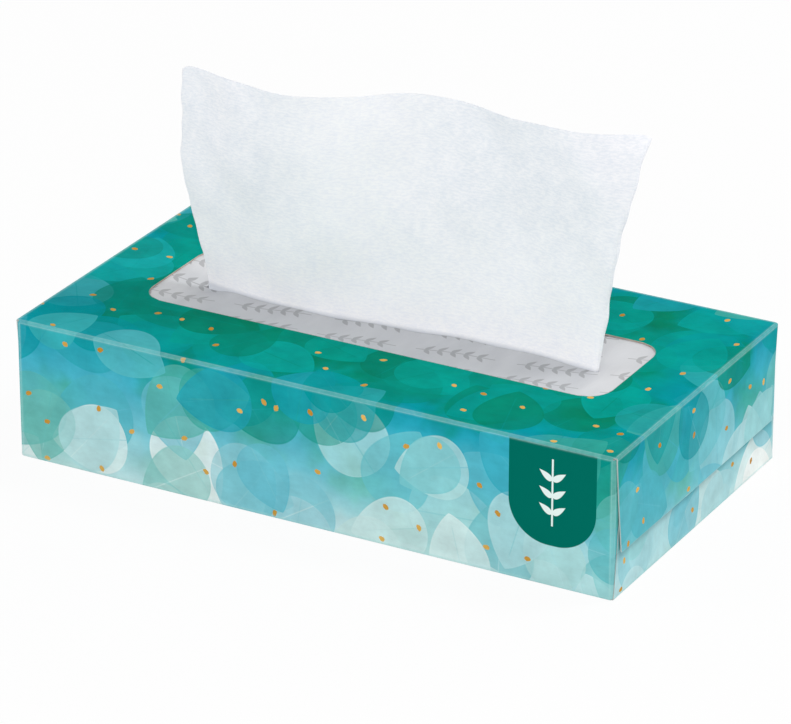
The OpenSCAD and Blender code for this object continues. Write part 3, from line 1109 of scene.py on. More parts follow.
@dataclass
class Patch:
    """A grid of points with what the surface carries at each of them, in millimetres.

    Attributes:
        points: Rows by columns by 3.
        place: Rows by columns by 2, the point's place on the flat blank.
        crease: Rows by columns, distance along the board to the nearest fold.
        cut: Rows by columns, distance to the nearest cut edge that shows.
        ring: Whether the last column joins the first.
    """

    points: np.ndarray
    place: np.ndarray
    crease: np.ndarray
    cut: np.ndarray
    ring: bool = False

    @classmethod
    def plain(cls, points: np.ndarray, place: np.ndarray, ring: bool = False) -> "Patch":
        """A patch that no fold and no cut edge is near."""
        far = np.full(points.shape[:2], FAR)
        return cls(points, place, far, far, ring)

    def quads(self) -> np.ndarray:
        """Lists the faces between neighbouring rows and columns.

        Returns:
            Faces by 4, the numbers of their corners.
        """
        rows, columns = self.points.shape[:2]
        index = np.arange(rows * columns).reshape(rows, columns)
        right = np.roll(index, -1, axis=1)
        cells = np.stack([index[:-1], right[:-1], right[1:], index[1:]], axis=-1)
        return (cells if self.ring else cells[:, :-1]).reshape(-1, 4)

    def facing_out(self, centre: np.ndarray) -> np.ndarray:
        """Lists the faces so that their normals point away from a centre.

        The sum of each face's normal, dotted with its way from the centre, decides whether all turn round.

        Args:
            centre: The centre.

        Returns:
            Faces by 4, the numbers of their corners.
        """
        quads = self.quads()
        a, b, c, d = (self.points.reshape(-1, 3)[quads[:, k]] for k in range(4))
        normals = np.cross(c - a, d - b)
        outward = float((normals * ((a + b + c + d) / 4 - centre)).sum())
        return quads if outward > 0 else quads[:, ::-1]

    def mirrored(self) -> "Patch":
        """The same patch at the other end, with X turned round in space and on the blank."""
        return Patch(self.points * (-1, 1, 1), self.place * (-1, 1), self.crease, self.cut, self.ring)


class BoardFace(IntEnum):
    """Material slots of the board."""

    PRINT = 0
    INNER = 1
    RIM = 2


def mesh_object(
    name: str,
    patches: Sequence[Patch],
    materials: Sequence[bpy.types.Material],
    centre: Sequence[float] | None = None,
) -> bpy.types.Object:
    """Puts patches into one mesh and merges the points that they share.

    Args:
        name: The object's name.
        patches: The patches, in millimetres.
        materials: Its materials, of which the faces have the first.
        centre: Point that every face turns away from, or None to keep the faces as they come.

    Returns:
        The object, with the blank's UV map and the crease and cut attributes.
    """
    counts = np.cumsum([0] + [patch.points.shape[0] * patch.points.shape[1] for patch in patches])
    quads = [patch.quads() if centre is None else patch.facing_out(np.array(centre)) for patch in patches]
    faces = np.concatenate([quad + start for quad, start in zip(quads, counts)])
    points = np.concatenate([patch.points.reshape(-1, 3) for patch in patches]) * MM
    mesh = bpy.data.meshes.new(name)
    mesh.from_pydata(points.tolist(), [], faces.tolist())
    place = np.concatenate([patch.place.reshape(-1, 2) for patch in patches])
    mesh.uv_layers.new(name="blank").uv.foreach_set("vector", place[faces.ravel()].astype(np.float32).ravel())
    for key in ("crease", "cut"):
        values = np.concatenate([getattr(patch, key).ravel() for patch in patches])
        mesh.attributes.new(key, "FLOAT", "POINT").data.foreach_set("value", values.astype(np.float32))
    work = bmesh.new()
    work.from_mesh(mesh)
    bmesh.ops.remove_doubles(work, verts=work.verts, dist=MERGE_DISTANCE)
    work.to_mesh(mesh)
    work.free()
    mesh.shade_smooth()
    for material in materials:
        mesh.materials.append(material)
    piece = bpy.data.objects.new(name, mesh)
    bpy.context.collection.objects.link(piece)
    return piece


def thicken(
    piece: bpy.types.Object, thickness: float, offset: float, inner_slot: int = 0, rim_slot: int = 0
) -> None:
    """Gives a sheet its thickness and makes its rims sharp.

    Args:
        piece: The object to thicken.
        thickness: Thickness in millimetres.
        offset: -1 to keep the surface as the outer face, 0 to keep it in the middle.
        inner_slot: Material slot of the inner face.
        rim_slot: Material slot of the rims.
    """
    solid = piece.modifiers.new("thickness", "SOLIDIFY")
    solid.thickness = thickness * MM
    solid.offset = offset
    solid.use_even_offset = True
    solid.material_offset = inner_slot
    solid.material_offset_rim = rim_slot
    graph = bpy.context.evaluated_depsgraph_get()
    piece.data = bpy.data.meshes.new_from_object(piece.evaluated_get(graph))
    piece.modifiers.remove(solid)
    piece.data.set_sharp_from_angle(angle=SHARP_ANGLE)


def graded(length: float, step: float = 6.0) -> np.ndarray:
    """Distances along a stretch, close together near both of its ends, or even on a short stretch.

    Args:
        length: Length of the stretch.
        step: Largest step in the middle.

    Returns:
        Distances from 0 to the length.
    """
    near = np.array([0.0, 0.35, 0.7, 1.1, 1.6, 2.4, 4.0])
    shortest, even_points = 2.5 * near[-1], 6
    if length < shortest:
        return np.linspace(0.0, length, even_points)
    inner = length - 2 * near[-1]
    middle = near[-1] + np.linspace(0.0, inner, int(inner / step) + 2)
    return np.unique(np.round(np.concatenate([near, middle, length - near]), DIGITS))


@dataclass
class Profile:
    """A folded strip of board seen on its edge.

    Attributes:
        points: Points in the strip's plane.
        run: Distance along the strip.
        crease: Distance along the strip to the middle of the nearest fold.
    """

    points: np.ndarray
    run: np.ndarray
    crease: np.ndarray

    @classmethod
    def folded(
        cls,
        start: tuple[float, float],
        heading: float,
        turn: float,
        straights: Sequence[float],
        radius: float,
    ) -> "Profile":
        """Lays straight stretches end to end with a fold between each two.

        A point of a fold is its centre, which lies a radius to the side, less the side turned by the angle
        so far.

        Args:
            start: First point.
            heading: Direction of the first stretch, in degrees.
            turn: Angle of each fold, in degrees, positive to the left.
            straights: Lengths of the stretches, of which the first may be 0.
            radius: Radius of the folds.

        Returns:
            The profile.
        """
        at, travelled, angle = np.array(start), 0.0, math.radians(heading)
        bend = math.radians(turn)
        angles = np.linspace(0.0, bend, FOLD_POINTS)
        cos, sin = np.cos(angles), np.sin(angles)
        points, runs, folds = [], [], []
        for number, straight in enumerate(straights):
            if number:
                side = np.array([-math.sin(angle), math.cos(angle)]) * np.sign(bend)
                spun = np.stack([side[0] * cos - side[1] * sin, side[0] * sin + side[1] * cos], axis=-1)
                points.append(at + (side - spun) * radius)
                runs.append(travelled + np.abs(angles) * radius)
                folds.append(travelled + abs(bend) * radius / 2)
                at, travelled, angle = points[-1][-1], runs[-1][-1], angle + bend
            direction = np.array([math.cos(angle), math.sin(angle)])
            steps = graded(straight) if straight else np.zeros(1)
            points.append(at + steps[:, None] * direction)
            runs.append(travelled + steps)
            at, travelled = points[-1][-1], runs[-1][-1]
        run, first = np.unique(np.round(np.concatenate(runs), DIGITS), return_index=True)
        crease = np.abs(run[:, None] - np.array(folds)).min(axis=1)
        return cls(np.concatenate(points)[first], run, crease)

    def carried(self, shape: tuple[int, ...]) -> tuple[np.ndarray, ...]:
        """Both coordinates, the run and the crease on a grid, the same in all columns."""
        columns = (self.points[:, 0], self.points[:, 1], self.run, self.crease)
        return tuple(np.broadcast_to(values[:, None], shape) for values in columns)


@dataclass
class Carton:
    """The folded and glued carton: top with its cut-out, sleeve, dust flaps, lower flaps and upper flaps.

    Attributes that aren't plain sizes:
        seam_rise: Height of the back panel's lower edge.
        flap_gap: Gap between the end flaps' roots and the folds beside them.
        flap_taper: How far a flap's sides come in by its edge.
        flap_lift: How far the upper flaps' edges stand off in their middles.
        flap_bow: Share of that which is lost at their corners.
        dust_bulge: How far the dust flaps bulge past the lower flaps.
        dust_slope: Distance from the lower flaps' edges over which they come out.
        dust_root: Distance from the dust flaps' own folds over which they come out.
        bow: How far the panels stand out in their middles.
        rim_grey: Share of grey in the cut edges at the ends.
    """

    length: float = 228.0
    width: float = 123.0
    height: float = 51.0
    board: float = 0.4
    fold: float = 0.55
    cutout_x: float = 0.8
    cutout_length: float = 177.0
    cutout_width: float = 48.5
    cutout_radius: float = 9.5
    upper_flap: float = 34.7
    lower_flap: float = 30.0
    dust_flap: float = 48.0
    glue_flap: float = 13.0
    seam_rise: float = 0.3
    flap_gap: float = 0.2
    flap_taper: float = 3.2
    flap_lift: float = 0.8
    flap_bow: float = 0.35
    dust_bulge: float = 0.35
    dust_slope: float = 0.8
    dust_root: float = 0.7
    bow: float = 0.25
    rim_grey: float = 0.9

    def __post_init__(self) -> None:
        """Works out where the folds of the top and of the sleeve begin."""
        self.top_x = self.length / 2 - self.fold
        self.top_y = self.width / 2 - self.fold
        self.sleeve_end = self.length / 2 - 2 * self.board - self.fold
        self.half_fold = self.fold * math.pi / 4
        self.flap_half = self.top_y - self.flap_gap
        self.sleeve_x = graded(2 * self.sleeve_end) - self.sleeve_end
        self.flap_y = graded(2 * self.flap_half) - self.flap_half

    def _top(self) -> Patch:
        """Lays the top panel in rings from the cut-out to the folds.

        A direction on the square of half side 1 gives the outer point, and the cut-out's point is its core,
        the cut-out shrunk by its radius, plus the radius towards the direction's point. Rows mix the two.

        Returns:
            The patch.
        """
        xs = np.concatenate([[-self.top_x], self.sleeve_x, [self.top_x]]) / self.top_x
        ys = np.concatenate([[-self.top_y], self.flap_y, [self.top_y]]) / self.top_y
        one_x, one_y = np.ones(len(xs) - 1), np.ones(len(ys) - 1)
        sides = ((xs[:-1], -one_x), (one_y, ys[:-1]), (xs[:0:-1], one_x), (-one_y, ys[:0:-1]))
        square = np.concatenate([np.stack(side, axis=-1) for side in sides])
        half = np.array([self.cutout_length, self.cutout_width]) / 2
        core = np.clip(square * half, self.cutout_radius - half, half - self.cutout_radius)
        towards = square * half - core
        hole = core + towards / np.linalg.norm(towards, axis=1, keepdims=True) * self.cutout_radius
        hole = hole + (self.cutout_x, 0.0)
        outer = square * (self.top_x, self.top_y)
        reach = self.top_y - half[1]
        rows = (graded(reach) / reach)[:, None, None]
        flat = hole + (outer - hole) * rows
        x, y = flat[..., 0], flat[..., 1]
        lift = self.bow * (1 - (x / self.top_x) ** 2) * (1 - (y / self.top_y) ** 2)
        crease = np.minimum(self.top_x - np.abs(x), self.top_y - np.abs(y)) + self.half_fold
        cut = np.linalg.norm(flat - hole, axis=-1)
        return Patch(np.stack([x, y, self.height + lift], axis=-1), flat, crease, cut, ring=True)

    def _panel(self, profile: Profile, side: int) -> Patch:
        """Panels of the sleeve: a profile in Y and Z carried along X, bowed outwards between its folds.

        Args:
            profile: The folded strip, from the edge of the top panel.
            side: -1 for the strip that starts at the front, 1 for the back.

        Returns:
            The patch.
        """
        x = np.broadcast_to(self.sleeve_x, (len(profile.run), len(self.sleeve_x)))
        y, z, run, crease = profile.carried(x.shape)
        middle = self.height / 2
        upright = np.clip(1 - ((z - middle) / (middle - self.fold)) ** 2, 0, 1)
        bulge = (1 - (x / self.sleeve_end) ** 2) * upright
        y = y + side * self.bow * bulge * (np.abs(y) > self.width / 2 - self.board / 2)
        place = np.stack([x, side * (self.top_y + run)], axis=-1)
        crease = np.minimum(crease, self.sleeve_end - np.abs(x) + self.half_fold)
        return Patch(np.stack([x, y, z], axis=-1), place, crease, np.full(x.shape, FAR))

    def _end_flap(self, profile: Profile, root_run: float, first: float, way: int, lift: float) -> Patch:
        """End flap: a profile in X and Z carried along Y, narrowed past its fold and bowed off at its edge.

        Args:
            profile: The folded strip.
            root_run: Distance along the strip at which the taper starts.
            first: Place of the strip's start along the print.
            way: 1 if the strip runs down the print, -1 if it runs up it and across it the other way.
            lift: How far the flap's edge stands off.

        Returns:
            The patch of the right end.
        """
        past = np.clip((profile.run - root_run) / (profile.run[-1] - root_run), 0, 1)[:, None]
        half = self.flap_half - self.flap_taper * past
        y = self.flap_y / self.flap_half * half
        x, z, run, crease = profile.carried(y.shape)
        x = x + lift * past**2 * (1 - self.flap_bow * (y / self.flap_half) ** 2)
        place = np.stack([first + way * run, way * y], axis=-1)
        cut = np.where(past > 0, np.minimum(half - np.abs(y), profile.run[-1] - run), FAR)
        return Patch(np.stack([x, y, z], axis=-1), place, crease, cut)

    def _dust_flap(self, side: int) -> Patch:
        """Dust flap: a profile in X and Y carried up Z, with its free corners cut away.

        It bulges outwards past the edges of the lower flap, where only the upper flap covers it.

        Args:
            side: -1 for the front, 1 for the back.

        Returns:
            The patch of the right end.
        """
        start = (self.sleeve_end, side * self.width / 2)
        straight = self.dust_flap - self.fold
        profile = Profile.folded(start, 0.0, -90.0 * side, (0.0, straight), self.fold)
        low, high = self.fold, self.height - self.fold
        past = np.clip((profile.run - 2 * self.half_fold) / straight, 0, 1)[:, None]
        share = graded(high - low) / (high - low)
        z = low + self.flap_taper * past + (high - low - 2 * self.flap_taper * past) * share
        x, y, run, crease = profile.carried(z.shape)
        covered = self.flap_half - self.flap_taper * z / self.lower_flap
        free = np.maximum(z - self.lower_flap, np.abs(y) - covered)
        grown = np.clip((run - self.half_fold) / self.dust_root, 0, 1)
        x = x + self.dust_bulge * np.clip(free / self.dust_slope, 0, 1) * grown
        down = 2 * self.half_fold + high - z
        place = np.stack([self.sleeve_end + run, side * (self.top_y + down)], axis=-1)
        return Patch(np.stack([x, y, z], axis=-1), place, crease, np.full(z.shape, FAR))

    def patches(self) -> list[Patch]:
        """Folds the whole blank.

        Returns:
            The patches of the board's outer face.
        """
        fold, strip = self.fold, self.board
        side = self.height - 2 * fold
        bottom = self.width - self.board - 2 * fold
        front_lengths = (0.0, side, bottom, self.glue_flap - fold)
        front = Profile.folded((-self.top_y, self.height), 180.0, 90.0, front_lengths, fold)
        back_lengths = (0.0, self.height - fold - self.seam_rise)
        back = Profile.folded((self.top_y, self.height), 0.0, -90.0, back_lengths, fold)
        upper = Profile.folded((self.top_x, self.height), 0.0, -90.0, (0.0, self.upper_flap - fold), fold)
        lower = Profile.folded((self.sleeve_end, 0.0), 0.0, 90.0, (strip, self.lower_flap - fold), fold)
        foot = self.top_x + 4 * self.half_fold + side + strip
        ends = [
            self._end_flap(upper, 2 * self.half_fold, self.top_x, 1, self.flap_lift),
            self._end_flap(lower, strip + 2 * self.half_fold, foot, -1, 0.0),
            self._dust_flap(-1),
            self._dust_flap(1),
        ]
        mirrored = [end.mirrored() for end in ends]
        return [self._top(), self._panel(front, -1), self._panel(back, 1), *ends, *mirrored]

    def build(self, effects: Effects) -> bpy.types.Object:
        """Builds the carton, dresses it and puts it in the place of its solid.

        Args:
            effects: The shared node groups.

        Returns:
            The piece.
        """
        flap_edge = self.top_x + 2 * self.half_fold + self.upper_flap - self.fold - self.length / 2
        raw = RawBoardFinish(effects)
        materials = [
            PrintFinish(effects, self.length / 2, self.width / 2, flap_edge).material(),
            raw.material("inner_board", 0.0),
            raw.material("cut_board", self.rim_grey),
        ]
        piece = mesh_object("carton_board", self.patches(), materials, (0.0, 0.0, self.height / 2))
        thicken(piece, self.board, -1.0, BoardFace.INNER, BoardFace.RIM)
        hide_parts("carton")
        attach(piece, "root")
        return piece


@dataclass
class SheetWave:
    """The wave that the pulled sheet takes across the box."""

    trough: float = -42.5

    def shift(self, x: np.ndarray, slope: Values, height: Values, length: Values) -> np.ndarray:
        """Shift to the back at x: slope times x less height times the cosine's change from the middle."""
        turn = math.tau / length
        return slope * x - height * (np.cos(turn * (x - self.trough)) - np.cos(turn * self.trough))

    def slope(self, x: np.ndarray, slope: Values, height: Values, length: Values) -> np.ndarray:
        """Slope of that shift at x."""
        turn = math.tau / length
        return slope + height * turn * np.sin(turn * (x - self.trough))


@dataclass
class WindowFilm:
    """The film glued under the top panel, slack in the cut-out, with a slit that follows the sheet.

    Attributes that aren't plain sizes or places:
        loose_x, loose_y: Distances from the middle at which the film is held.
        loose_powers: How suddenly it is held, along the box and across it.
        sag, ripple: How far it hangs, and the height of its ripples, where it is loose.
        slit_front, slit_back: Reach of the slit before the sheet and behind it.
        fold_back: Reach behind it where the sheet's sides are turned back.
        folded_from, folded_to: Distances along the slit between which that reach grows.
        slit_end_power: How blunt the slit's ends are.
        lip, lip_reach: Rise of the slit's lips, and how soon it dies away.
        dip, dip_spread: Depth and spread of the film's dip at the slit's left end.
        row_power: How much closer the rows lie at the slit.
    """

    centre_x: float = 0.8
    length: float = 205.0
    width: float = 76.5
    thickness: float = 0.15
    top: float = 50.55
    loose_x: float = 90.0
    loose_y: float = 25.5
    loose_powers: tuple[int, int] = (6, 4)
    sag: float = 1.5
    ripple: float = 0.25
    ripple_length: float = 31.0
    slit_x: float = 1.2
    slit_y: float = -1.8
    slit_half_length: float = 76.1
    slit_front: float = 0.35
    slit_back: float = 0.4
    fold_back: float = 1.95
    folded_from: float = 42.0
    folded_to: float = 49.0
    slit_end_power: float = 0.14
    slope: float = -0.04
    wave_height: float = 4.7
    wave_length: float = 178.0
    lip: float = 0.2
    lip_reach: float = 2.5
    dip: float = 5.6
    dip_spread: float = 6.0
    columns: int = 360
    rows: int = 30
    row_power: float = 1.3

    def _slit(self, cos: np.ndarray, sin: np.ndarray, wave: SheetWave) -> np.ndarray:
        """Edge of the slit: a lens, its reach times the sine to a small power, shifted by the sheet's wave.

        Args:
            cos: Cosines of the angles round the slit.
            sin: Sines of them.
            wave: The sheet's wave.

        Returns:
            Points by 2.
        """
        along = self.slit_half_length * cos
        share = np.clip((np.abs(along) - self.folded_from) / (self.folded_to - self.folded_from), 0, 1)
        back = self.slit_back + (self.fold_back - self.slit_back) * smooth_step(share)
        centre = (back - self.slit_front) / 2
        reach = np.where(sin > 0, back - centre, -self.slit_front - centre)
        across = centre + reach * np.abs(sin) ** self.slit_end_power
        behind = wave.shift(along, self.slope, self.wave_height, self.wave_length)
        return np.stack([self.slit_x + along, self.slit_y + behind + across], axis=-1)

    def _patch(self, wave: SheetWave) -> Patch:
        """Lays the film from the slit to its glued edge.

        The edge's point is on a rectangle in the direction of the slit's point, and rows mix the two. The
        height falls by the sag and ripples where the film is loose, rises a little at the lips, and dips in
        front of the slit's left end, as a bell curve.

        Args:
            wave: The sheet's wave.

        Returns:
            The patch.
        """
        angles = np.linspace(0, math.tau, self.columns, endpoint=False)
        cos, sin = np.cos(angles), np.sin(angles)
        slit = self._slit(cos, sin, wave)
        larger = np.maximum(np.abs(cos), np.abs(sin))[:, None]
        edge = np.stack([self.length / 2 * cos, self.width / 2 * sin], axis=-1) / larger
        edge = edge + (self.centre_x, 0.0)
        share = (np.linspace(0, 1, self.rows + 1) ** self.row_power)[:, None, None]
        flat = slit + (edge - slit) * share
        x, y = flat[..., 0], flat[..., 1]
        power_x, power_y = self.loose_powers
        loose = np.clip(1 - ((x - self.centre_x) / self.loose_x) ** power_x, 0, 1)
        loose = loose * np.clip(1 - (y / self.loose_y) ** power_y, 0, 1)
        waves = self.ripple * np.sin(math.tau * (x + y / 2) / self.ripple_length)
        lips = self.lip * np.exp(-np.linalg.norm(flat - slit, axis=-1) / self.lip_reach) * np.abs(sin)
        away = np.linalg.norm(flat - slit[np.argmin(cos)], axis=-1) / self.dip_spread
        dips = self.dip * np.exp(-away * away / 2) * (1 - sin) / 2
        z = self.top - loose * (self.sag + waves + dips) + lips
        return Patch.plain(np.stack([x, y, z], axis=-1), flat, ring=True)

    def build(self, effects: Effects, wave: SheetWave) -> bpy.types.Object:
        """Builds the film, dresses it and puts it in the place of its solid.

        Args:
            effects: The shared node groups.
            wave: The sheet's wave.

        Returns:
            The piece.
        """
        piece = mesh_object("slit_film", [self._patch(wave)], [FilmFinish(effects).material()])
        thicken(piece, self.thickness, -1.0)
        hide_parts("window_film")
        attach(piece, "root")
        return piece


@dataclass(frozen=True)
class Flutter:
    """A sine wave over the flat sheet: its share, its lengths across and down, and its start in turns."""

    share: float
    across: float
    down: float
    start: float

    def at(self, u: np.ndarray, s: np.ndarray) -> np.ndarray:
        """Height of the wave at distances across and down the sheet."""
        return self.share * np.sin(math.tau * (u / self.across + s / self.down + self.start))


@dataclass
class PulledSheet:
    """The sheet that stands in the slit, with its sides turned back and its tail on the stack in two leaves.

    Attributes that aren't plain sizes, places or counts:
        flare_left, flare_right: How much further the sheet reaches at its top than in the slit.
        left_spread, right_power: Share of the height over which the left flare grows, and power of the right.
        left_wobble, right_wobble: Lengths and starts of the sine waves down the side edges.
        side_fall: Fall of the turned sides, as a slope.
        corner_fall, corner_reach: Depth and breadth of the top corners' rounding.
        corner_fade: Its power downwards.
        flutter_waves, slant_wave: Soft dents of the face. The cosine of slant_across thins out the last one.
        crest_narrow, crest_fade: How narrow the crest's bell is, and its power downwards.
    """

    width: float = 208.0
    length: float = 213.0
    thickness: float = 0.2
    pull_out: float = 81.8
    flare_left: float = 10.7
    flare_right: float = 12.7
    wave_length_top: float = 105.0
    wave_length_slit: float = 178.0
    wave_top: float = 7.4
    wave_slit: float = 4.7
    slope_top: float = 0.17
    slope_slit: float = -0.04
    lean: float = 9.6
    turn_radius_top: float = 1.2
    turn_radius_slit: float = 0.8
    turn_radius_tail: float = 0.5
    turn_angle_top: float = 172.0
    left_spread: float = 0.62
    right_power: float = 1.5
    edge_wobble: float = 0.2
    wobble_fade: float = 6.0
    left_wobble: tuple[tuple[float, float], ...] = ((4.1, 0.0), (1.7, 1.0))
    right_wobble: tuple[tuple[float, float], ...] = ((3.6, 2.0), (1.9, 0.0))
    side_fall: float = 0.33
    corner_fall: float = 1.3
    corner_reach: float = 2.4
    corner_fade: float = 30.0
    leaf_length: float = 38.0
    leaf_radius: float = 1.0
    slit_x: float = 1.2
    slit_y: float = -1.8
    slit_z: float = 48.65
    slit_half: float = 75.2
    bend_radius: float = 4.8
    flutter: float = 0.5
    flutter_fade: float = 4.0
    flutter_waves: tuple[Flutter, ...] = (
        Flutter(1.0, 43.0, 120.0, 0.0),
        Flutter(0.7, 27.0, -75.0, 0.3),
        Flutter(0.5, 90.0, 38.0, 0.6),
    )
    slant_wave: Flutter = Flutter(0.45, 31.0, -24.0, 0.1)
    slant_across: tuple[float, float] = (150.0, 0.45)
    crest: float = 1.1
    crest_middle: float = -16.0
    crest_length: float = 76.0
    crest_narrow: float = 1.9
    crest_fade: int = 4
    standing_rows: int = 92
    bend_rows: int = 14
    leaf_rows: int = 10
    side_columns: int = 14
    turn_columns: int = 12
    front_columns: int = 56

    def __post_init__(self) -> None:
        """Works out the distances down the sheet at which its stretches end."""
        self.bend_end = self.pull_out + self.bend_radius * math.pi / 2
        self.leaf_end = self.bend_end + self.leaf_length
        self.tail_start = self.leaf_end + self.leaf_radius * math.pi

    def _stations(self) -> np.ndarray:
        """Spaces out the rows of points.

        Returns:
            Their distances down the sheet, as a column.
        """
        ends = (0.0, self.pull_out, self.bend_end, self.leaf_end, self.tail_start, self.length)
        counts = (self.standing_rows, self.bend_rows, self.leaf_rows, self.bend_rows, self.leaf_rows)
        stretches = [np.linspace(a, b, n, endpoint=False) for a, b, n in zip(ends, ends[1:], counts)]
        return np.concatenate(stretches + [[self.length]])[:, None]

    def _rise(self, s: np.ndarray) -> np.ndarray:
        """Share of the height above the slit: 1 at the top edge and 0 from the slit on."""
        return np.clip(1 - s / self.pull_out, 0, 1)

    def _between(self, s: np.ndarray, top: float, slit: float, tail: float) -> np.ndarray:
        """A value that runs in straight lines from the top edge to the slit and on to the end of the bend."""
        return np.interp(s, (0.0, self.pull_out, self.bend_end), (top, slit, tail))

    def _wave_form(self, s: np.ndarray) -> tuple[np.ndarray, np.ndarray, np.ndarray]:
        """Slope, height and length of the wave across the box, down the sheet."""
        return (
            self._between(s, self.slope_top, self.slope_slit, 0.0),
            self._between(s, self.wave_top, self.wave_slit, 0.0),
            np.interp(s, (0.0, self.pull_out), (self.wave_length_top, self.wave_length_slit)),
        )

    def _reaches(self, s: np.ndarray) -> tuple[np.ndarray, np.ndarray]:
        """Reaches of the sheet's front to both sides, which flare upwards and wobble by sines.

        Args:
            s: Distances down the sheet, as a column.

        Returns:
            Reach to the left and to the right of the sheet's middle.
        """
        rise = self._rise(s)
        spread = smooth_step(np.minimum(1, rise / self.left_spread))
        wobble = self.edge_wobble * np.minimum(1, rise * self.wobble_fade)
        left, right = (
            wobble * sum(np.sin(s / length + start) for length, start in waves)
            for waves in (self.left_wobble, self.right_wobble)
        )
        left = left + self.slit_half + self.flare_left * spread
        right = right + self.slit_half + self.flare_right * rise**self.right_power
        return left, right

    def _section(self, s: np.ndarray, wave: SheetWave) -> tuple[np.ndarray, ...]:
        """Rows of the sheet seen from above, added up from their headings.

        Across a row the sheet heads along its wave, turns back about the turn's radius at each side, and then
        runs back along the front that it faces. The sums start at the middle of the sheet. The turned sides
        fall in a straight line, and near the top a bell curve about the turn's outermost line rounds the
        corners.

        Args:
            s: Distances down the sheet, as a column.
            wave: The wave across the box.

        Returns:
            Distance across the sheet, place along the box, place behind its middle, and fall of the sides.
        """
        rise = self._rise(s)
        left, right = self._reaches(s)
        turn = self._between(s, self.turn_radius_top, self.turn_radius_slit, self.turn_radius_tail) * math.pi
        edge = self.width / 2 + 0 * s
        ends = (-edge, -left - turn, -left, 0 * s, right, right + turn, edge)
        half = (self.side_columns, self.turn_columns, self.front_columns)
        steps = [
            a + (b - a) * np.linspace(0, 1, n, endpoint=False)
            for a, b, n in zip(ends, ends[1:], half + half[::-1])
        ]
        u = np.concatenate(steps + [edge], axis=1)
        front = np.clip(u, -left, right)
        past = np.maximum(0, np.abs(u - front) - turn)
        turned = np.clip((u - front) / turn, -1, 1)
        angle = np.radians(np.interp(s, (0.0, self.pull_out), (self.turn_angle_top, 180.0)))
        heading = angle * turned + np.arctan(wave.slope(front - np.sign(u) * past, *self._wave_form(s)))
        mean = (heading[:, 1:] + heading[:, :-1]) / 2
        along, behind = (
            np.concatenate([0 * s, np.cumsum(np.diff(u) * part, axis=1)], axis=1)
            for part in (np.cos(mean), np.sin(mean))
        )
        fall = -self.side_fall * rise * np.maximum(0, np.maximum(u - right, -u - left))
        inward = np.maximum(0, np.minimum(right + turn / 2 - u, u + left + turn / 2)) / self.corner_reach
        fall = fall - self.corner_fall * rise**self.corner_fade * np.exp(-inward * inward)
        middle = sum(half)
        return u, along - along[:, middle, None], behind - behind[:, middle, None], fall

    def _path(self, s: np.ndarray) -> tuple[np.ndarray, np.ndarray, np.ndarray]:
        """Follows the sheet's middle down the sheet.

        It stands and leans, bends back over a quarter circle, lies as a leaf, turns half round and lies back.

        Args:
            s: Distances down the sheet, as a column.

        Returns:
            Y and Z of the middle, and the angle of the sheet's back.
        """
        bend = np.clip((s - self.pull_out) / (self.bend_end - self.pull_out), 0, 1) * math.pi / 2
        turn = np.clip((s - self.leaf_end) / (self.tail_start - self.leaf_end), 0, 1) * math.pi
        out = np.clip(s - self.bend_end, 0, self.leaf_length)
        home = np.clip(s - self.tail_start, 0, None)
        rise = self._rise(s)
        y = self.slit_y + self.lean * rise + self.bend_radius * (1 - np.cos(bend)) + out
        y = y + self.leaf_radius * np.sin(turn) - home
        z = self.slit_z + self.pull_out * rise - self.bend_radius * np.sin(bend)
        return y, z - self.leaf_radius * (1 - np.cos(turn)), bend - turn

    def _dents(self, u: np.ndarray, s: np.ndarray) -> np.ndarray:
        """Soft unevenness of the paper: crossing sine waves that die away at the slit.

        Args:
            u: Distances across the sheet.
            s: Distances down the sheet, as a column.

        Returns:
            Shift to the back.
        """
        length, start = self.slant_across
        waves = sum(wave.at(u, s) for wave in self.flutter_waves)
        waves = waves + self.slant_wave.at(u, s) * np.cos(math.tau * (u / length + start))
        return self.flutter * waves * np.minimum(1, self._rise(s) * self.flutter_fade)

    def _crest(self, u: np.ndarray, s: np.ndarray) -> np.ndarray:
        """Uneven top edge: a sine wave under a bell curve, times a power of the rise.

        Args:
            u: Distances across the sheet.
            s: Distances down the sheet, as a column.

        Returns:
            Shift upwards.
        """
        along = (u - self.crest_middle) / self.crest_length
        bell = np.exp(-((self.crest_narrow * along) ** 2))
        return self.crest * self._rise(s) ** self.crest_fade * np.sin(math.tau * along) * bell

    def _patch(self, wave: SheetWave) -> Patch:
        """The whole sheet: its wave shifts it back, and the rest of its section follows the path's turns.

        Args:
            wave: The wave across the box.

        Returns:
            The patch.
        """
        s = self._stations()
        u, along, behind, fall = self._section(s, wave)
        y, z, angle = self._path(s)
        shift = wave.shift(along, *self._wave_form(s))
        rest = behind - shift
        y = y + shift + self._dents(u, s) + rest * np.cos(angle)
        z = z + rest * np.sin(angle) + fall + self._crest(u, s)
        points = np.stack([self.slit_x + along, y, z], axis=-1)
        return Patch.plain(points, np.stack([u, np.broadcast_to(s, u.shape)], axis=-1))

    def build(self, effects: Effects, wave: SheetWave) -> bpy.types.Object:
        """Builds the sheet, dresses it and puts it in the place of its solid.

        Args:
            effects: The shared node groups.
            wave: The wave across the box.

        Returns:
            The piece.
        """
        piece = mesh_object("standing_tissue", [self._patch(wave)], [TissueFinish(effects).material()])
        thicken(piece, self.thickness, 0.0)
        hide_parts("pop_up_tissue")
        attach(piece, "root")
        return piece


@dataclass
class TissueStack:
    """The interfolded sheets in the carton, which keep the shape of their solid."""

    node: str = "tissue_stack"

    def build(self, effects: Effects) -> bpy.types.Object:
        """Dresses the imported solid.

        Args:
            effects: The shared node groups.

        Returns:
            The piece.
        """
        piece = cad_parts[self.node]
        material = TissueFinish(effects).stacked()
        for slot in piece.material_slots:
            slot.material = material
        return piece


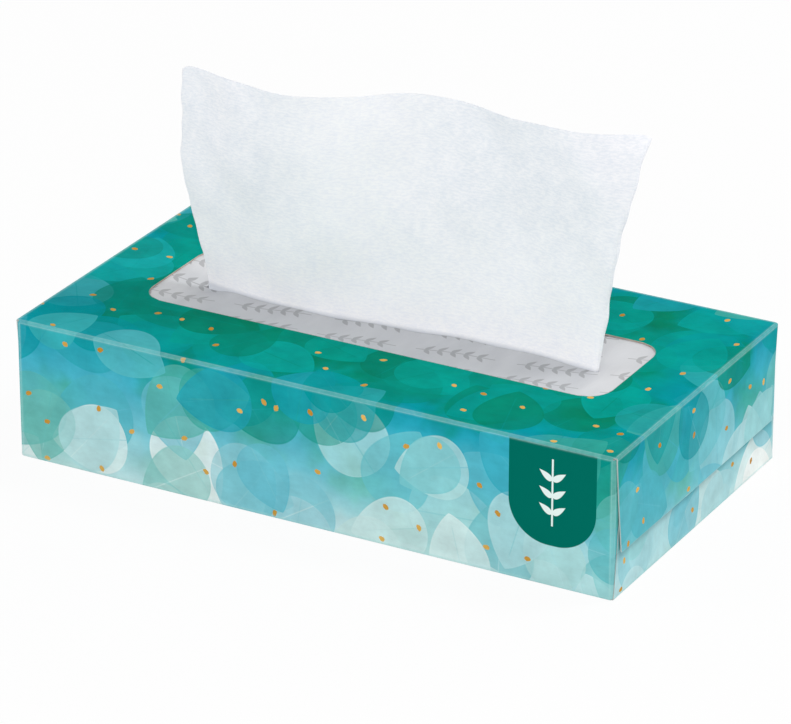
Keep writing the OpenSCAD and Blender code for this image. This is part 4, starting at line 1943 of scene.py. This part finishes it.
@dataclass(frozen=True)
class Lamp:
    """A square soft lamp, with its side in millimetres and its power in watts."""

    name: str
    place: Vector
    size: float
    power: float

    def hang(self, aim: Vector) -> None:
        """Hangs the lamp so that it faces a point.

        Args:
            aim: The point.
        """
        data = bpy.data.lights.new(self.name, "AREA")
        data.size = self.size * MM
        data.energy = self.power
        lamp = bpy.data.objects.new(self.name, data)
        lamp.location = [value * MM for value in self.place]
        toward = (np.array(aim) - np.array(self.place)) * MM
        yaw = math.atan2(toward[1], toward[0])
        tilt = math.acos(-toward[2] / np.linalg.norm(toward))
        lamp.rotation_euler = (tilt, 0.0, yaw - math.pi / 2)
        bpy.context.collection.objects.link(lamp)


@dataclass
class Studio:
    """White floor, soft lamps and the camera at the photograph's angle."""

    aim: Vector = (-1.8, 2.3, 34.4)
    distance: float = 1700.0
    azimuth: float = 28.856
    elevation: float = 24.472
    lens: float = 226.86
    sensor: float = 36.0
    view_end: float = 20000.0
    floor_half: float = 4000.0
    floor_points: int = 9
    world_strength: float = 0.48
    lamps: tuple[Lamp, ...] = (
        Lamp("key", (450.0, -1500.0, 800.0), 900.0, 11.3),
        Lamp("above", (680.0, 550.0, 1350.0), 400.0, 6.6),
        Lamp("left", (-1300.0, -700.0, 1000.0), 1000.0, 4.4),
        Lamp("right", (1300.0, 900.0, 600.0), 1000.0, 4.0),
        Lamp("behind", (500.0, 1500.0, 500.0), 1000.0, 4.0),
    )

    def _camera(self) -> None:
        """Sets the camera on its line of sight through the aim."""
        data = bpy.data.cameras.new("camera")
        data.sensor_fit = "HORIZONTAL"
        data.sensor_width = self.sensor
        data.lens = self.lens
        data.clip_end = self.view_end * MM
        camera = bpy.data.objects.new("camera", data)
        az, el = math.radians(self.azimuth), math.radians(self.elevation)
        back = np.array([math.sin(az) * math.cos(el), -math.cos(az) * math.cos(el), math.sin(el)])
        camera.location = ((np.array(self.aim) + back * self.distance) * MM).tolist()
        camera.rotation_euler = (math.pi / 2 - el, 0.0, az)
        bpy.context.collection.objects.link(camera)
        bpy.context.scene.camera = camera

    def _floor(self) -> None:
        """Lays the floor, a grid at the height of the table."""
        ticks = np.linspace(-self.floor_half, self.floor_half, self.floor_points)
        x, y = np.meshgrid(ticks, ticks)
        patch = Patch.plain(np.stack([x, y, np.zeros(x.shape)], axis=-1), np.stack([x, y], axis=-1))
        floor = mesh_object("floor", [patch], [FloorFinish().material()])

    def _world(self) -> None:
        """Gives an even white surround, plain white where it is seen directly or reflected."""
        world = bpy.data.worlds.new("studio")
        world.use_nodes = True
        graph = Graph(world.node_tree)
        background = world.node_tree.nodes["Background"]
        background.inputs["Color"].default_value = WHITE
        strength = graph.span(graph.seen(), 0.0, 1.0, self.world_strength, 1.0)
        graph.feed(background.inputs["Strength"], strength)
        bpy.context.scene.world = world

    def build(self) -> None:
        """Builds the studio."""
        bpy.context.scene.view_settings.view_transform = "Standard"
        self._camera()
        self._floor()
        self._world()
        for lamp in self.lamps:
            lamp.hang(self.aim)


def main() -> None:
    """Builds the studio and the pieces in order and logs their face counts."""
    logging.basicConfig(level=logging.INFO, format="%(message)s")
    Studio().build()
    effects = Effects()
    wave = SheetWave()
    pieces = [
        Carton().build(effects),
        WindowFilm().build(effects, wave),
        PulledSheet().build(effects, wave),
        TissueStack().build(effects),
    ]
    for piece in pieces:
        log.info("%s: %d faces", piece.name, len(piece.data.polygons))


if __name__ == "__main__":
    main()
